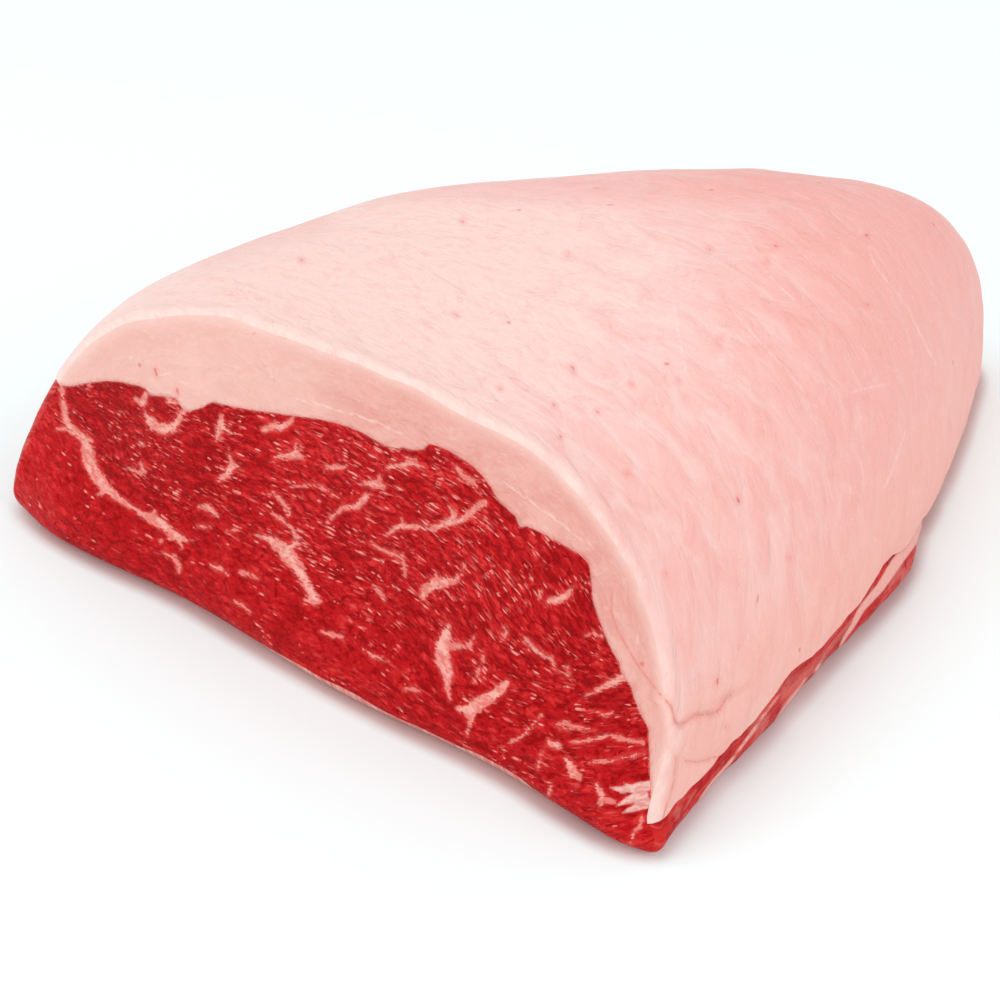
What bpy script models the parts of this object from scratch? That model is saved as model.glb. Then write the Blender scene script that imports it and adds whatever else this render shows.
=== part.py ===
"""Raw picanha, cut side to the front: the lean, the fat cap over it and the silverskin under it.

Units are metres and +Z is up. The block lies on the floor, its cut face looks along -Y and leans back,
and its tip points along +Y. The origin is on the floor under the middle of the block.

The outer skin is a loft of sections, one at each station from the cut to the tip. A section is a
superellipse over the floor, drawn by an angle that runs from 0 at the right foot over the crest to pi at
the left foot. The fat cap lies between two lips, one on each flank, and the lean shows under them.
"""

from math import pi, radians, tan

import bmesh
import bpy
import numpy as np

# ---- block ------------------------------------------------------------------------------------------
LENGTH = 0.1925  # foot of the cut to the tip
CENTRE = (-0.0055, 0.0960)  # middle of the block's plan, from the middle of the cut's foot
CUT_LEAN = radians(12)  # the cut face leans back from upright
# At five even stations from the cut to the tip:
RIGHT_EDGE = (0.0892, 0.0845, 0.0773, 0.0656, 0.0563)
LEFT_EDGE = (-0.0887, -0.1000, -0.0761, -0.0390, -0.0122)
CREST_HEIGHT = (0.0665, 0.0656, 0.0676, 0.0640, 0.0651)
TIP_X = 0.0365
TIP_RADIUS = 0.024  # the tip's directions fan out from this far inside it
TIP_FANNED = (0.90, 0.97)  # stations between which they take over
PLAN_SQUARENESS = 4.6  # how late the plan closes towards the tip
CREST_SQUARENESS = 7.9  # how late the crest comes down to it
CREST_SHARE = (0.587, 0.63)  # crest, as a share of the width from the left, at the cut and at the tip
CUT_TURN = 0.16  # share of the rows over which the skin's directions leave the plane of the cut
FOOT_TURN = 0.12  # share of the rows over which the foot's directions leave the X axis
# Superellipse powers (across, up) at the cut and at the tip:
RIGHT_FLANK = ((3.02, 2.53), (2.02, 3.10))
LEFT_FLANK = ((3.08, 1.87), (2.00, 2.57))
FOOT_RADIUS = 0.0050  # round of the foot all round the plan
RIM_RADIUS = 0.0012  # round of the rim of the cut
CUT_SWELL = 0.0005  # the knife's gentle waves in the cut face
CUT_SWELL_DEPTH = 0.018  # how far into the block they reach
CUT_SWELL_FROM_FLOOR = 0.006  # height over which they start
# (share of the swell, radians a metre across, radians a metre up, phase):
CUT_WAVES = ((1.0, 82, 44, 0), (0.7, 146, -107, 1))

# ---- fat cap ----------------------------------------------------------------------------------------
# (share of the way from the right lip to the left lip, thickness) along the cut:
FAT_PROFILE = (
    (0.00, 0.0023), (0.12, 0.0063), (0.23, 0.0104), (0.33, 0.0086), (0.46, 0.0122), (0.54, 0.0101),
    (0.64, 0.0162), (0.72, 0.0191), (0.83, 0.0162), (0.92, 0.0081), (1.00, 0.0022),
)
FAT_AT_TIP = 0.0081
TIP_LIP_SHARE = 0.08  # share of the cap, at each lip, over which the tip's fat thins out
TIP_FAT_FROM = 0.80  # station where the thickness starts to even out towards the tip
RIGHT_LIP = 0.0104  # height of the right lip
RIGHT_LIP_DIP = 0.0034  # how much lower it starts, at the cut
RIGHT_LIP_RISE = 0.20  # station where it is up to its height
RIGHT_LIP_FALL = (0.42, 0.82)  # stations between which it comes down to the floor
LEFT_LIP = (0.0342, 0.0239, 0.0171, 0.0135, 0.0108)  # height of the left lip at the five stations
LEFT_LIP_FALL = (0.84, 0.97)
LIP_WAVE = 0.0008
LIP_WAVES = ((1.0, 31, 0), (0.6, 53, 1))  # (share of the wave, radians from cut to tip, phase)
LIP_LEAST = 0.0013  # a lip lower than this is on the floor
DRAWN_IN = (0.0013, 0.0040)  # under a lip of these heights the lean draws in behind the fat
# Folds in the fat at the right end of the cut, as (x, y, z) from the middle of the cut's foot:
FOLDS = (
    ((0.0860, 0.005, 0.0306), (0.0866, 0.009, 0.0243), (0.0861, 0.018, 0.0212), (0.0855, 0.027, 0.0198)),
    ((0.0878, 0.008, 0.0162), (0.0873, 0.016, 0.0122), (0.0869, 0.022, 0.0097)),
)
FOLD_DEPTH = 0.0010
FOLD_WIDTH = 0.0031
# Shallow hollows and swells of the cap, as (x, y, radius, height):
SWELLS = (
    (-0.054, 0.041, 0.027, 0.0013), (0.000, 0.063, 0.031, -0.0007), (0.041, 0.135, 0.031, 0.0009),
    (0.027, 0.090, 0.023, -0.0007), (-0.027, 0.099, 0.027, -0.0009), (-0.068, 0.081, 0.023, 0.0009),
)

# ---- lean and silverskin ----------------------------------------------------------------------------
GAP = 0.0004  # clearance between neighbours
LEAN_SHY = 0.0006  # the lean's flank lies this far inside the lip
RAGGED = 0.0004  # height of the muscle's bumps along the flank
RAGGED_WAVES = (170, 6)  # radians from cut to tip and from lip to floor
SKIN_THICKNESS = 0.0015
SKIN_WAVE = 0.0002
SKIN_EDGE = 0.0004  # thickness at its feathered edge
SKIN_SHOWS_FROM = (-0.052, -0.027)  # along the foot of the cut the edge thickens between these x
SKIN_LAST_ROW = 22
SKIN_FEATHER = (0.10, 0.12)  # width of the feathered edges: a share of the columns, and of the rows
SKIN_SHOWS_BEHIND = (0.03, 0.15)  # behind the cut the left edge thickens between these shares of the rows

# ---- mesh -------------------------------------------------------------------------------------------
ROWS = 28  # along the block
TIP_ROWS = (0.983, 0.994)  # two more close to the tip, where the form closes
CAP_COLUMNS = 44  # lip to lip
RIGHT_COLUMNS = 6  # lip to foot
LEFT_COLUMNS = 8
FLOOR_COLUMNS = 16
FACE_ROWS = 7  # foot to rim of the cut
BAND_ROWS = 2  # rim to lean, across the fat that the cut shows
CAP_EVEN = 0.2  # share of even spacing between the cap's columns, the rest crowds towards the lips
WELD = 2e-6
SLOPE_STEP = 1e-4  # step in row and in angle over which a slope is measured
STATIONS = np.linspace(0, 1, 5)


def smoothstep(low, high, value):
    share = np.clip((value - low) / (high - low), 0, 1)
    return share * share * (3 - 2 * share)


def along(values, station):
    """A smooth curve through one value at each of the five stations."""
    return np.polyval(np.polyfit(STATIONS, values, len(values) - 1), station)


def through(points, share):
    """A smooth curve through (share, value) points that may be unevenly spaced."""
    place, value = np.array(points).T
    slope = np.gradient(value, place)
    left = np.clip(np.searchsorted(place, share, side="right") - 1, 0, len(place) - 2)
    span = place[left + 1] - place[left]
    u = (share - place[left]) / span
    rise = smoothstep(0, 1, u)
    return (
        value[left] * (1 - rise) + value[left + 1] * rise
        + span * u * (1 - u) * (slope[left] * (1 - u) - slope[left + 1] * u)
    )


def unit(vectors):
    return vectors / np.maximum(np.linalg.norm(vectors, axis=-1, keepdims=True), 1e-12)


# ---- the outer skin ---------------------------------------------------------------------------------
def station_of(row):
    """Rows crowd towards the cut, where the detail is, and towards the tip, where the form closes."""
    return np.sin(row**1.25 * pi / 2)


def plan(station):
    """Left edge, right edge and crest height of the section at a station."""
    close = np.sqrt(1 - station**PLAN_SQUARENESS)
    left = TIP_X + (along(LEFT_EDGE, station) - TIP_X) * close
    right = TIP_X + (along(RIGHT_EDGE, station) - TIP_X) * close
    return left, right, along(CREST_HEIGHT, station) * np.sqrt(1 - station**CREST_SQUARENESS)


def flank_powers(flank, station):
    (across, up), (tip_across, tip_up) = flank
    share = smoothstep(0, 1, station)
    return across + (tip_across - across) * share, up + (tip_up - up) * share


def skin(row, angle):
    """Points of the skin before its foot is rounded, for a column of rows and the angles in each."""
    station = station_of(row)
    left, right, height = plan(station)
    crest = left + (right - left) * np.interp(smoothstep(0, 1, station), (0, 1), CREST_SHARE)
    cosine, sine = np.cos(angle), np.abs(np.sin(angle))
    on_right = cosine >= 0
    right_powers, left_powers = (flank_powers(f, station) for f in (RIGHT_FLANK, LEFT_FLANK))
    across = np.where(on_right, right_powers[0], left_powers[0])
    up = np.where(on_right, right_powers[1], left_powers[1])
    reach = np.where(on_right, right - crest, left - crest)
    x = crest + reach * np.abs(cosine) ** (2 / across)
    z = height * sine ** (2 / up)
    y = station * LENGTH + z * tan(CUT_LEAN) * (1 - station) ** 2
    return np.stack(np.broadcast_arrays(x, y, z), axis=-1)


def angle_at(height, row, flank):
    """The angle from a foot at which the skin is that high."""
    station = station_of(row)
    crest = np.maximum(plan(station)[2], 1e-9)
    return np.arcsin(np.clip(height / crest, 0, 1) ** (flank_powers(flank, station)[1] / 2))


def skin_normals(row, angle):
    """Outward directions: in the cut's plane at the cut, then the skin's normals, then fanned at the tip."""
    step = SLOPE_STEP
    from_heart = unit(skin(row, angle) - np.array((TIP_X, LENGTH - TIP_RADIUS, 0)))
    fanned = smoothstep(*TIP_FANNED, station_of(row))[..., None]
    row = np.clip(row, 0, 1 - 2 * step)
    inside = np.clip(angle, step, pi - step)
    around = skin(row, inside + step) - skin(row, inside - step)
    back = skin(row + step, inside) - skin(np.maximum(row - step, 0), inside)
    cut_plane = np.array((0, np.cos(CUT_LEAN), -np.sin(CUT_LEAN)))
    in_plane = unit(np.cross(cut_plane, around))
    free = unit(np.cross(back, around))
    share = smoothstep(0, CUT_TURN, row)[..., None]
    normals = unit(in_plane * (1 - share) + free * share)
    return unit(normals * (1 - fanned) + from_heart * fanned)


def foot_normals(row, on_right):
    """Outward normals of the plan's outline, level, which point along X at the cut."""
    step = SLOPE_STEP
    low, high = np.clip(row - step, 0, 1), np.clip(row + step, 0, 1)
    ahead = (station_of(high) - station_of(low)) * LENGTH
    left, right = (
        plan(station_of(high))[side] - plan(station_of(low))[side] for side in (0, 1)
    )
    share = smoothstep(0, FOOT_TURN, row)
    sign = np.where(on_right, 1, -1)
    sideways = np.where(on_right, right, left)
    normals = unit(np.stack(np.broadcast_arrays(sign * ahead, -sign * sideways, 0 * ahead), axis=-1))
    straight = np.stack(np.broadcast_arrays(sign, 0, 0 * ahead), axis=-1)
    return unit(normals * share[..., None] + straight * (1 - share[..., None]))


def tuck(height):
    """How far the round of the foot draws the skin in at a height."""
    below = np.clip(FOOT_RADIUS - height, 0, FOOT_RADIUS)
    return FOOT_RADIUS - np.sqrt(FOOT_RADIUS**2 - below**2)


# ---- rows and lips ----------------------------------------------------------------------------------
def row_table():
    """For each row, as columns: its place from cut to tip, its inset and its shift round the cut's rim."""
    turn = np.array((0, pi / 4, pi / 2))
    rim = np.stack((0 * turn, RIM_RADIUS * (1 - np.sin(turn)), RIM_RADIUS * (1 - np.cos(turn))))
    rest = np.sort(np.append(np.linspace(0, 1, ROWS + 1)[1:], TIP_ROWS))
    body = np.stack((rest, 0 * rest, 0 * rest))
    return [part[:, None] for part in np.concatenate((rim, body), axis=1)]


ROW, RIM_INSET, RIM_SHIFT = row_table()


def lips():
    """Heights of the right and the left lip at each row, 0 where the fat reaches the floor."""
    station = station_of(ROW)
    wave = LIP_WAVE * sum(share * np.sin(turns * station + phase) for share, turns, phase in LIP_WAVES)
    right = RIGHT_LIP - RIGHT_LIP_DIP * (1 - smoothstep(0, RIGHT_LIP_RISE, station)) + wave
    right = right * (1 - smoothstep(*RIGHT_LIP_FALL, station))
    left = (along(LEFT_LIP, station) - wave) * (1 - smoothstep(*LEFT_LIP_FALL, station))
    return [np.where(height < LIP_LEAST, 0, height) for height in (right, left)]


RIGHT_LIPS, LEFT_LIPS = lips()


def cap_angles(drop):
    """Angles from lip to lip at each row, crowded towards both, starting a little below the lips."""
    right = angle_at(np.maximum(RIGHT_LIPS - drop, 0), ROW, RIGHT_FLANK)
    left = pi - angle_at(np.maximum(LEFT_LIPS - drop, 0), ROW, LEFT_FLANK)
    even = np.linspace(0, 1, CAP_COLUMNS + 1)[None]
    share = CAP_EVEN * even + (1 - CAP_EVEN) * (1 - np.cos(pi * even)) / 2
    return right + (left - right) * share, share


def fat_thickness(share, height):
    """Thickness of the cap, which is never so thin that the round of the foot would cut through it."""
    station = station_of(ROW)
    evened = smoothstep(TIP_FAT_FROM, 1, station)
    lip = FAT_PROFILE[0][1]
    middle = smoothstep(0, TIP_LIP_SHARE, share) * smoothstep(0, TIP_LIP_SHARE, 1 - share)
    at_tip = lip + (FAT_AT_TIP - lip) * np.maximum(middle, smoothstep(*TIP_FANNED, station))
    at_foot = lip + FOOT_RADIUS * (1 - smoothstep(0, 1.5 * FOOT_RADIUS, height))
    return np.maximum(through(FAT_PROFILE, share) * (1 - evened) + at_tip * evened, at_foot)


def relief(points):
    """How far the folds and swells raise the fat."""
    x, y, z = np.moveaxis(points, -1, 0)
    raised = 0
    for centre_x, centre_y, radius, height in SWELLS:
        raised = raised + height * np.exp(-((x - centre_x) ** 2 + (y - centre_y) ** 2) / radius**2)
    for fold in FOLDS:
        near = np.full(x.shape, np.inf)
        for start, end in zip(np.array(fold[:-1]), np.array(fold[1:])):
            leg = end - start
            share = np.clip(((points - start) @ leg) / (leg @ leg), 0, 1)
            near = np.minimum(near, np.linalg.norm(points - start - share[..., None] * leg, axis=-1))
        raised = raised - FOLD_DEPTH * np.exp(-((near / FOLD_WIDTH) ** 2))
    return raised


def inset(row, angle, depth, shift=0.0):
    """Points that lie a depth inside the skin, moved back by shift and never under the floor."""
    points = skin(row, angle) - depth[..., None] * skin_normals(row, angle)
    points[..., 1] += shift
    points[..., 2] = np.maximum(points[..., 2], 0)
    return points


def tucked(row, angle, depth, shift):
    """The same, with the foot rounded."""
    base = skin(row, angle)
    foot = foot_normals(row, np.cos(angle) >= 0)
    return inset(row, angle, depth, shift) - tuck(base[..., 2])[..., None] * foot


def flank(lip_heights, side, columns, corner, fat_depth):
    """The lean's flank at each row, from under the lip to the floor.

    Where the lip comes down to the floor, the flank draws in behind the fat and then closes up.
    """
    even = np.linspace(0, 1, columns)[None]
    height = np.maximum(lip_heights - GAP, 0) * (1 - np.sin(even * pi / 2))
    angle = angle_at(height, ROW, RIGHT_FLANK if side > 0 else LEFT_FLANK)
    angle = angle if side > 0 else pi - angle
    along_block, down = RAGGED_WAVES
    bumps = RAGGED * np.sin(along_block * station_of(ROW) + down * even) * np.sin(pi * even)
    shown = tucked(ROW, angle, LEAN_SHY + RIM_INSET + bumps, RIM_SHIFT)
    drawn_in = inset(ROW, angle, fat_depth[:, None] + 0 * angle, RIM_SHIFT)
    last = (lip_heights > 0) & (np.roll(lip_heights, -1, axis=0) == 0)
    share = np.where(last, 1, 1 - smoothstep(*DRAWN_IN, lip_heights))[..., None]
    points = shown * (1 - share) + drawn_in * share
    return np.where((lip_heights > 0)[..., None], points, corner[:, None])


# ---- solids -----------------------------------------------------------------------------------------
def waved(points):
    """The cut face's gentle waves, which fade out behind it."""
    x, y, z = np.moveaxis(points, -1, 0)
    behind = y - z * tan(CUT_LEAN)
    wave = sum(share * np.sin(across * x + up * z + phase) for share, across, up, phase in CUT_WAVES)
    fade = (1 - smoothstep(0, CUT_SWELL_DEPTH, behind)) * smoothstep(0, CUT_SWELL_FROM_FLOOR, z)
    return points + np.stack((0 * x, CUT_SWELL * wave * fade, 0 * x), axis=-1)


def add_sheet(mesh, grid):
    """Adds a grid of points to a bmesh as quads."""
    moved = waved(np.asarray(grid)) - np.array((*CENTRE, 0))
    rows = [[mesh.verts.new(point) for point in row] for row in moved]
    for near, far in zip(rows[:-1], rows[1:]):
        for i in range(len(near) - 1):
            mesh.faces.new((near[i], near[i + 1], far[i + 1], far[i]))


def add_zip(mesh, first, second):
    """Joins two lines of points that share their ends but not their number of points."""
    lines = [waved(line) - np.array((*CENTRE, 0)) for line in (first, second)]
    shares = [np.linspace(0, 1, len(line)) for line in lines]
    i = j = 0
    while i < len(first) - 1 or j < len(second) - 1:
        step_first = j == len(second) - 1 or (i < len(first) - 1 and shares[0][i + 1] <= shares[1][j + 1])
        third = lines[0][i + 1] if step_first else lines[1][j + 1]
        mesh.faces.new([mesh.verts.new(point) for point in (lines[0][i], lines[1][j], third)])
        i, j = (i + 1, j) if step_first else (i, j + 1)


def make_solid(name, mesh, material):
    bmesh.ops.remove_doubles(mesh, verts=mesh.verts, dist=WELD)
    bmesh.ops.recalc_face_normals(mesh, faces=mesh.faces)
    data = bpy.data.meshes.new(name)
    mesh.to_mesh(data)
    mesh.free()
    data.shade_smooth()
    data.set_sharp_from_angle(angle=radians(50))
    data.materials.append(material)
    piece = bpy.data.objects.new(name, data)
    bpy.context.scene.collection.objects.link(piece)
    return piece


def make_material(name, colour, roughness):
    material = bpy.data.materials.new(name)
    material.use_nodes = True
    shader = material.node_tree.nodes["Principled BSDF"]
    shader.inputs["Base Color"].default_value = (*colour, 1)
    shader.inputs["Roughness"].default_value = roughness
    shader.inputs["Metallic"].default_value = 0
    return material


def make_fat_cap():
    """The cap: its outer skin, its underside, the two lips and the band that the cut shows."""
    angle, share = cap_angles(0)
    height = skin(ROW, angle)[..., 2]
    outer = tucked(ROW, angle, RIM_INSET - relief(skin(ROW, angle)), RIM_SHIFT)
    outer[..., 2] = np.where(height > 0, outer[..., 2], 0)
    inner = inset(ROW, angle, fat_thickness(share, height), RIM_SHIFT)
    inner[-1] = inner[-1, 0]
    outer[-1] = outer[-1, 0]
    steps = np.linspace(0, 1, BAND_ROWS + 1)[:, None, None]
    mesh = bmesh.new()
    for grid in (outer, inner):
        add_sheet(mesh, grid)
    for near, far in ((outer[0], inner[0]), (outer[:, 0], inner[:, 0]), (outer[:, -1], inner[:, -1])):
        add_sheet(mesh, near + (far - near) * steps)
    return make_solid("fat_cap", mesh, make_material("fat", (0.93, 0.66, 0.60), 0.45))


def skin_heights(row, x, share):
    """Thickness of the silverskin over its plan, feathered at its left, right and far edges."""
    last = ROW[SKIN_LAST_ROW, 0]
    sides, far = SKIN_FEATHER
    feather = smoothstep(0, sides, share) * smoothstep(0, sides, 1 - share) * smoothstep(0, far, last - row)
    shows = smoothstep(*SKIN_SHOWS_FROM, x) + smoothstep(*SKIN_SHOWS_BEHIND, row)
    wave = SKIN_WAVE * np.sin(106 * x) * np.sin(67 * x + 2)
    full = SKIN_THICKNESS + wave - SKIN_EDGE
    return SKIN_EDGE + full * feather * np.clip(shows, 0, 1)


def floor_grid(right_foot, left_foot):
    """Points on the floor at each row, from the lean's right foot to its left foot."""
    share = np.linspace(0, 1, FLOOR_COLUMNS + 1)[None, :, None]
    return right_foot[:, None] * (1 - share) + left_foot[:, None] * share


def raised(points, heights):
    """Floor points lifted by their heights, at the cut along its slope."""
    at_cut = 1 - smoothstep(0, 0.03, ROW[: len(points)] + 0 * heights)
    lifted = points.copy()
    lifted[..., 2] += heights
    lifted[..., 1] += heights * tan(CUT_LEAN) * at_cut
    return lifted


def make_lean_and_silverskin():
    angle, share = cap_angles(GAP)
    height = skin(ROW, angle)[..., 2]
    depth = fat_thickness(share, height) + GAP
    top = inset(ROW, angle, depth, RIM_SHIFT)
    top[-1] = top[-1, 0]
    right = flank(RIGHT_LIPS, 1, RIGHT_COLUMNS, top[:, 0], depth[:, 0])
    left = flank(LEFT_LIPS, -1, LEFT_COLUMNS, top[:, -1], depth[:, -1])
    floor = floor_grid(right[:, -1], left[:, -1])

    skin_rows, skin_columns = slice(0, SKIN_LAST_ROW + 1), slice(1, FLOOR_COLUMNS)
    patch = floor[skin_rows, skin_columns]
    across = np.linspace(0, 1, FLOOR_COLUMNS - 1)[None]
    thickness = skin_heights(ROW[skin_rows], patch[..., 0], across)
    underside = floor.copy()
    underside[skin_rows, skin_columns] = raised(patch, thickness + GAP)

    lean = bmesh.new()
    add_sheet(lean, top)
    add_sheet(lean, np.concatenate((top[:, :1], right), axis=1))
    add_sheet(lean, np.concatenate((top[:, -1:], left), axis=1))
    add_sheet(lean, underside)
    rim = np.concatenate((right[0, ::-1], top[0], left[0]))
    foot_x = underside[0, ::-1, 0]
    foot = np.stack([np.interp(rim[:, 0], foot_x, underside[0, ::-1, axis]) for axis in range(3)], axis=-1)
    steps = np.linspace(0, 1, FACE_ROWS + 1)[1:, None, None]
    face = foot + (rim - foot) * steps
    add_sheet(lean, face)
    add_zip(lean, underside[0], face[0])
    make_solid("lean", lean, make_material("lean", (0.50, 0.035, 0.04), 0.38))

    membrane = bmesh.new()
    upper = raised(patch, thickness)
    add_sheet(membrane, upper)
    for top_edge, low_edge in (
        (upper[0], patch[0]), (upper[-1], patch[-1]), (upper[:, 0], patch[:, 0]), (upper[:, -1], patch[:, -1])
    ):
        add_sheet(membrane, np.stack((top_edge, low_edge)))
    outline = np.concatenate((patch[0], patch[1:, -1], patch[-1, -2::-1], patch[-2:0:-1, 0]))
    membrane.faces.new([membrane.verts.new(point) for point in waved(outline) - np.array((*CENTRE, 0))])
    make_solid("silverskin", membrane, make_material("silverskin", (0.72, 0.36, 0.33), 0.35))


for leftover in list(bpy.data.objects):
    bpy.data.objects.remove(leftover, do_unlink=True)
make_fat_cap()
make_lean_and_silverskin()
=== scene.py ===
"""The looks of a raw picanha: its fat cap, the marbled lean under it and the silverskin that it lies on.

Units are metres and +Z is up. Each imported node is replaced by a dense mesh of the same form, made by the
same formulas. The meshes carry what their surfaces need as attributes, such as how far a point is from the
nearest seam of fat, and the materials turn those into colour, gloss and fine relief. The marks that make
this piece of meat what it is are drawn as strokes in the picture, and lie on whatever surface shows there.
"""

from collections import namedtuple
from math import cos, pi, radians, sin, tan

import bmesh
import bpy
import numpy as np
from mathutils import Matrix, Vector


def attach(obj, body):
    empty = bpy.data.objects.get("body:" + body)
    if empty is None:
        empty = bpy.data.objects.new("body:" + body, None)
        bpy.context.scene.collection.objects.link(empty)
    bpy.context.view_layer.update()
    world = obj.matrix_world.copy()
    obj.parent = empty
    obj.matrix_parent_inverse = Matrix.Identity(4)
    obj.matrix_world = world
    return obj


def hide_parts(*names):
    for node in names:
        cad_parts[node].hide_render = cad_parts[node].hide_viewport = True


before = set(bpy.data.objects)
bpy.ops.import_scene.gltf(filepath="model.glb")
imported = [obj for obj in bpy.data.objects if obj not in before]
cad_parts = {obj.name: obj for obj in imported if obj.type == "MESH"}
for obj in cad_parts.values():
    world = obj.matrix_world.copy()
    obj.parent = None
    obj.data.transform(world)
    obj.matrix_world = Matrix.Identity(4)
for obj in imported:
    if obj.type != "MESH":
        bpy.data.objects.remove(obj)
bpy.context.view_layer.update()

# ---- camera ----
PICTURE = 1000  # pixels a side
FOCAL = 2400  # pixels
SENSOR = 36  # millimetres
CAMERA_AZIMUTH = radians(40.42)
CAMERA_ELEVATION = radians(33)
CAMERA_PLACE = (0.2852, -0.3631, 0.2892)
PIXEL = 0.24  # millimetres that a pixel spans at the cut

# ---- block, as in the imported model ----
LENGTH = 0.1925  # foot of the cut to the tip
CENTRE = (-0.0055, 0.0960)  # middle of the block's plan, from the middle of the cut's foot
CUT_LEAN = radians(12)  # the cut face leans back from upright
# At five even stations from the cut to the tip:
RIGHT_EDGE = (0.0892, 0.0845, 0.0773, 0.0656, 0.0563)
LEFT_EDGE = (-0.0887, -0.1000, -0.0761, -0.0390, -0.0122)
CREST_HEIGHT = (0.0665, 0.0656, 0.0676, 0.0640, 0.0651)
TIP_X = 0.0365
TIP_RADIUS = 0.024
TIP_FANNED = (0.90, 0.97)
PLAN_SQUARENESS = 4.6
CREST_SQUARENESS = 7.9
CREST_SHARE = (0.587, 0.63)
CUT_TURN = 0.16
FOOT_TURN = 0.12
# Superellipse powers (across, up) at the cut and at the tip:
RIGHT_FLANK = ((3.02, 2.53), (2.02, 3.10))
LEFT_FLANK = ((3.08, 1.87), (2.00, 2.57))
FOOT_RADIUS = 0.0050
RIM_RADIUS = 0.0013
RIM_CLEARANCE = 1.2  # radii from the cut to the first row behind the rim
CUT_SWELL = 0.0005
CUT_SWELL_DEPTH = 0.018
CUT_SWELL_FROM_FLOOR = 0.006
CUT_WAVES = ((1.0, 82, 44, 0), (0.7, 146, -107, 1))  # share, turns across and up, phase
FAT_PROFILE = (  # share of the way from the right lip to the left one, and thickness
    (0.00, 0.0023), (0.12, 0.0063), (0.23, 0.0104), (0.33, 0.0086), (0.46, 0.0122), (0.54, 0.0101),
    (0.64, 0.0162), (0.72, 0.0191), (0.83, 0.0162), (0.92, 0.0081), (1.00, 0.0022),
)
FAT_AT_TIP = 0.0081
TIP_LIP_SHARE = 0.08
TIP_FAT_FROM = 0.80
FOOT_FAT_RISE = 1.5  # radii of the foot up to which fat that reaches the floor is thicker
RIGHT_LIP = 0.0104
RIGHT_LIP_DIP = 0.0034
RIGHT_LIP_RISE = 0.20
RIGHT_LIP_FALL = (0.42, 0.82)
LEFT_LIP = (0.0342, 0.0239, 0.0171, 0.0135, 0.0108)
LEFT_LIP_FALL = (0.84, 0.97)
LIP_WAVE = 0.0008
LIP_WAVES = ((1.0, 31, 0), (0.6, 53, 1))  # share, turns along the lip and phase
LIP_LUMPS = (0.4, 70, 1)  # share, turns along the lip and seed
LIP_LEAST = 0.0013
DRAWN_IN = (0.0013, 0.0040)
SWELLS = (  # x, y, radius and height
    (-0.054, 0.041, 0.027, 0.0013), (0.000, 0.063, 0.031, -0.0007), (0.041, 0.135, 0.031, 0.0009),
    (0.027, 0.090, 0.023, -0.0007), (-0.027, 0.099, 0.027, -0.0009), (-0.068, 0.081, 0.023, 0.0009),
)
LEAN_SHY = 0.0006
SKIN_THICKNESS = 0.0015
SKIN_WAVE = 0.0002
SKIN_WAVES = ((106, 0), (67, 2))  # turns across and phase
SKIN_EDGE = 0.0004
SKIN_SHOWS_FROM = (-0.060, 0.030)
SKIN_END = 22 / 28  # share of the rows that the silverskin covers
SKIN_FEATHER = (0.10, 0.12)
SKIN_SHOWS_BEHIND = (0.03, 0.15)
FLOOR_SLOPE_END = 0.03  # row up to which the silverskin's upper side follows the slope of the cut
STATIONS = np.linspace(0, 1, 5)
ROW_CROWDING = 1.25
SLOPE_STEP = 1e-4

DOWN = np.array((0, 0, -1))
OUT_OF_CUT = np.array((0, -cos(CUT_LEAN), sin(CUT_LEAN)))

# ---- what the dense meshes add ----
EASED = (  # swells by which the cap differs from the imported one: x, y, radius and height
    (-0.065, 0.058, 0.030, -0.0025), (-0.0435, 0.092, 0.020, 0.0013), (-0.005, 0.127, 0.020, 0.0007),
)
FOLD_HEIGHT = 0.0008  # of the flap under the fold
FOLD_STARTS, FOLD_REACH = 0.5, 5.0  # millimetres
CREASE_DEPTH, CREASE_REACH = 0.0005, 1.1  # in metres and millimetres
# Lumps: height, turns by the metre along X and how much of Z goes with it, the same along Y, and seed:
FAT_LUMPS = ((0.00035, 60, 1, 60, -1, 11), (0.00015, 170, 0, 170, -1, 12))
RIM_LUMPS = ((0.0004, 90, 1, 0, 0, 13), (0.0002, 260, -1, 200, 0, 14))
RIM_REACH = 0.003  # how far behind the cut the rim of the fat is lumpy
GAP = 0.00002  # between pieces that touch
GRAIN_STEP = radians(9)  # the grain of the cut turns in steps of this
GRAIN_LUMPS = (0.5, 110, 24)  # share, turns by the metre and seed of the cut's broad lumps
RIDGE_SLOPES = (-38, -14, 10, 34)  # degrees
RIDGE_STEP = 24
RIDGES = ((1.0, 4.6, 1.9, 0), (0.5, 2.3, 1.0, 7))  # share, length and width in millimetres, and seed
RIDGE_HEIGHT = 0.00016
RIDGE_REACH = 0.002  # how far behind the cut the ridges go
RIDGE_FROM_FLOOR = (0.0005, 0.003)
RIDGE_OFF_SEAMS = (-0.4, 0.5)  # millimetres from the edge of a seam of fat, on which there are none
RAGGED = 0.0006  # height of the lean's bumps along its flanks
RAGGED_LUMPS = ((1.0, 24, 1.2, 4), (0.5, 60, 3, 5))  # share, turns along and down the flank, and seed
RAGGED_FROM = 0.05  # station by which the bumps are full
BORDER_DEPTHS = (0.0015, 0.024)  # least and greatest thickness tried for the fat in the cut
BORDER_REACH = 0.006  # how far behind the cut the border of the fat in the cut reaches
FOOT_SWELL = 0.0036  # how far the foot of the cut swells forward
FOOT_SWELL_FROM = (0.022, 0.007)  # heights where the swell starts and is full
FOOT_SWELL_WAVE = (0.3, 79.5, 5.33)  # share, turn by the metre and phase by which it varies along the cut
FOOT_SWELL_LEFT = (-0.099, -0.070)  # where the swell starts at the left end, in the block's X
FOOT_SWELL_RIGHT = (0.078, 0.094)  # where it fades at the right end
FOOT_SWELL_LOSS = 0.8  # the share of it that is gone there
FOOT_TURNED = 0.0054  # radius by which the foot then turns under
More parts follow.
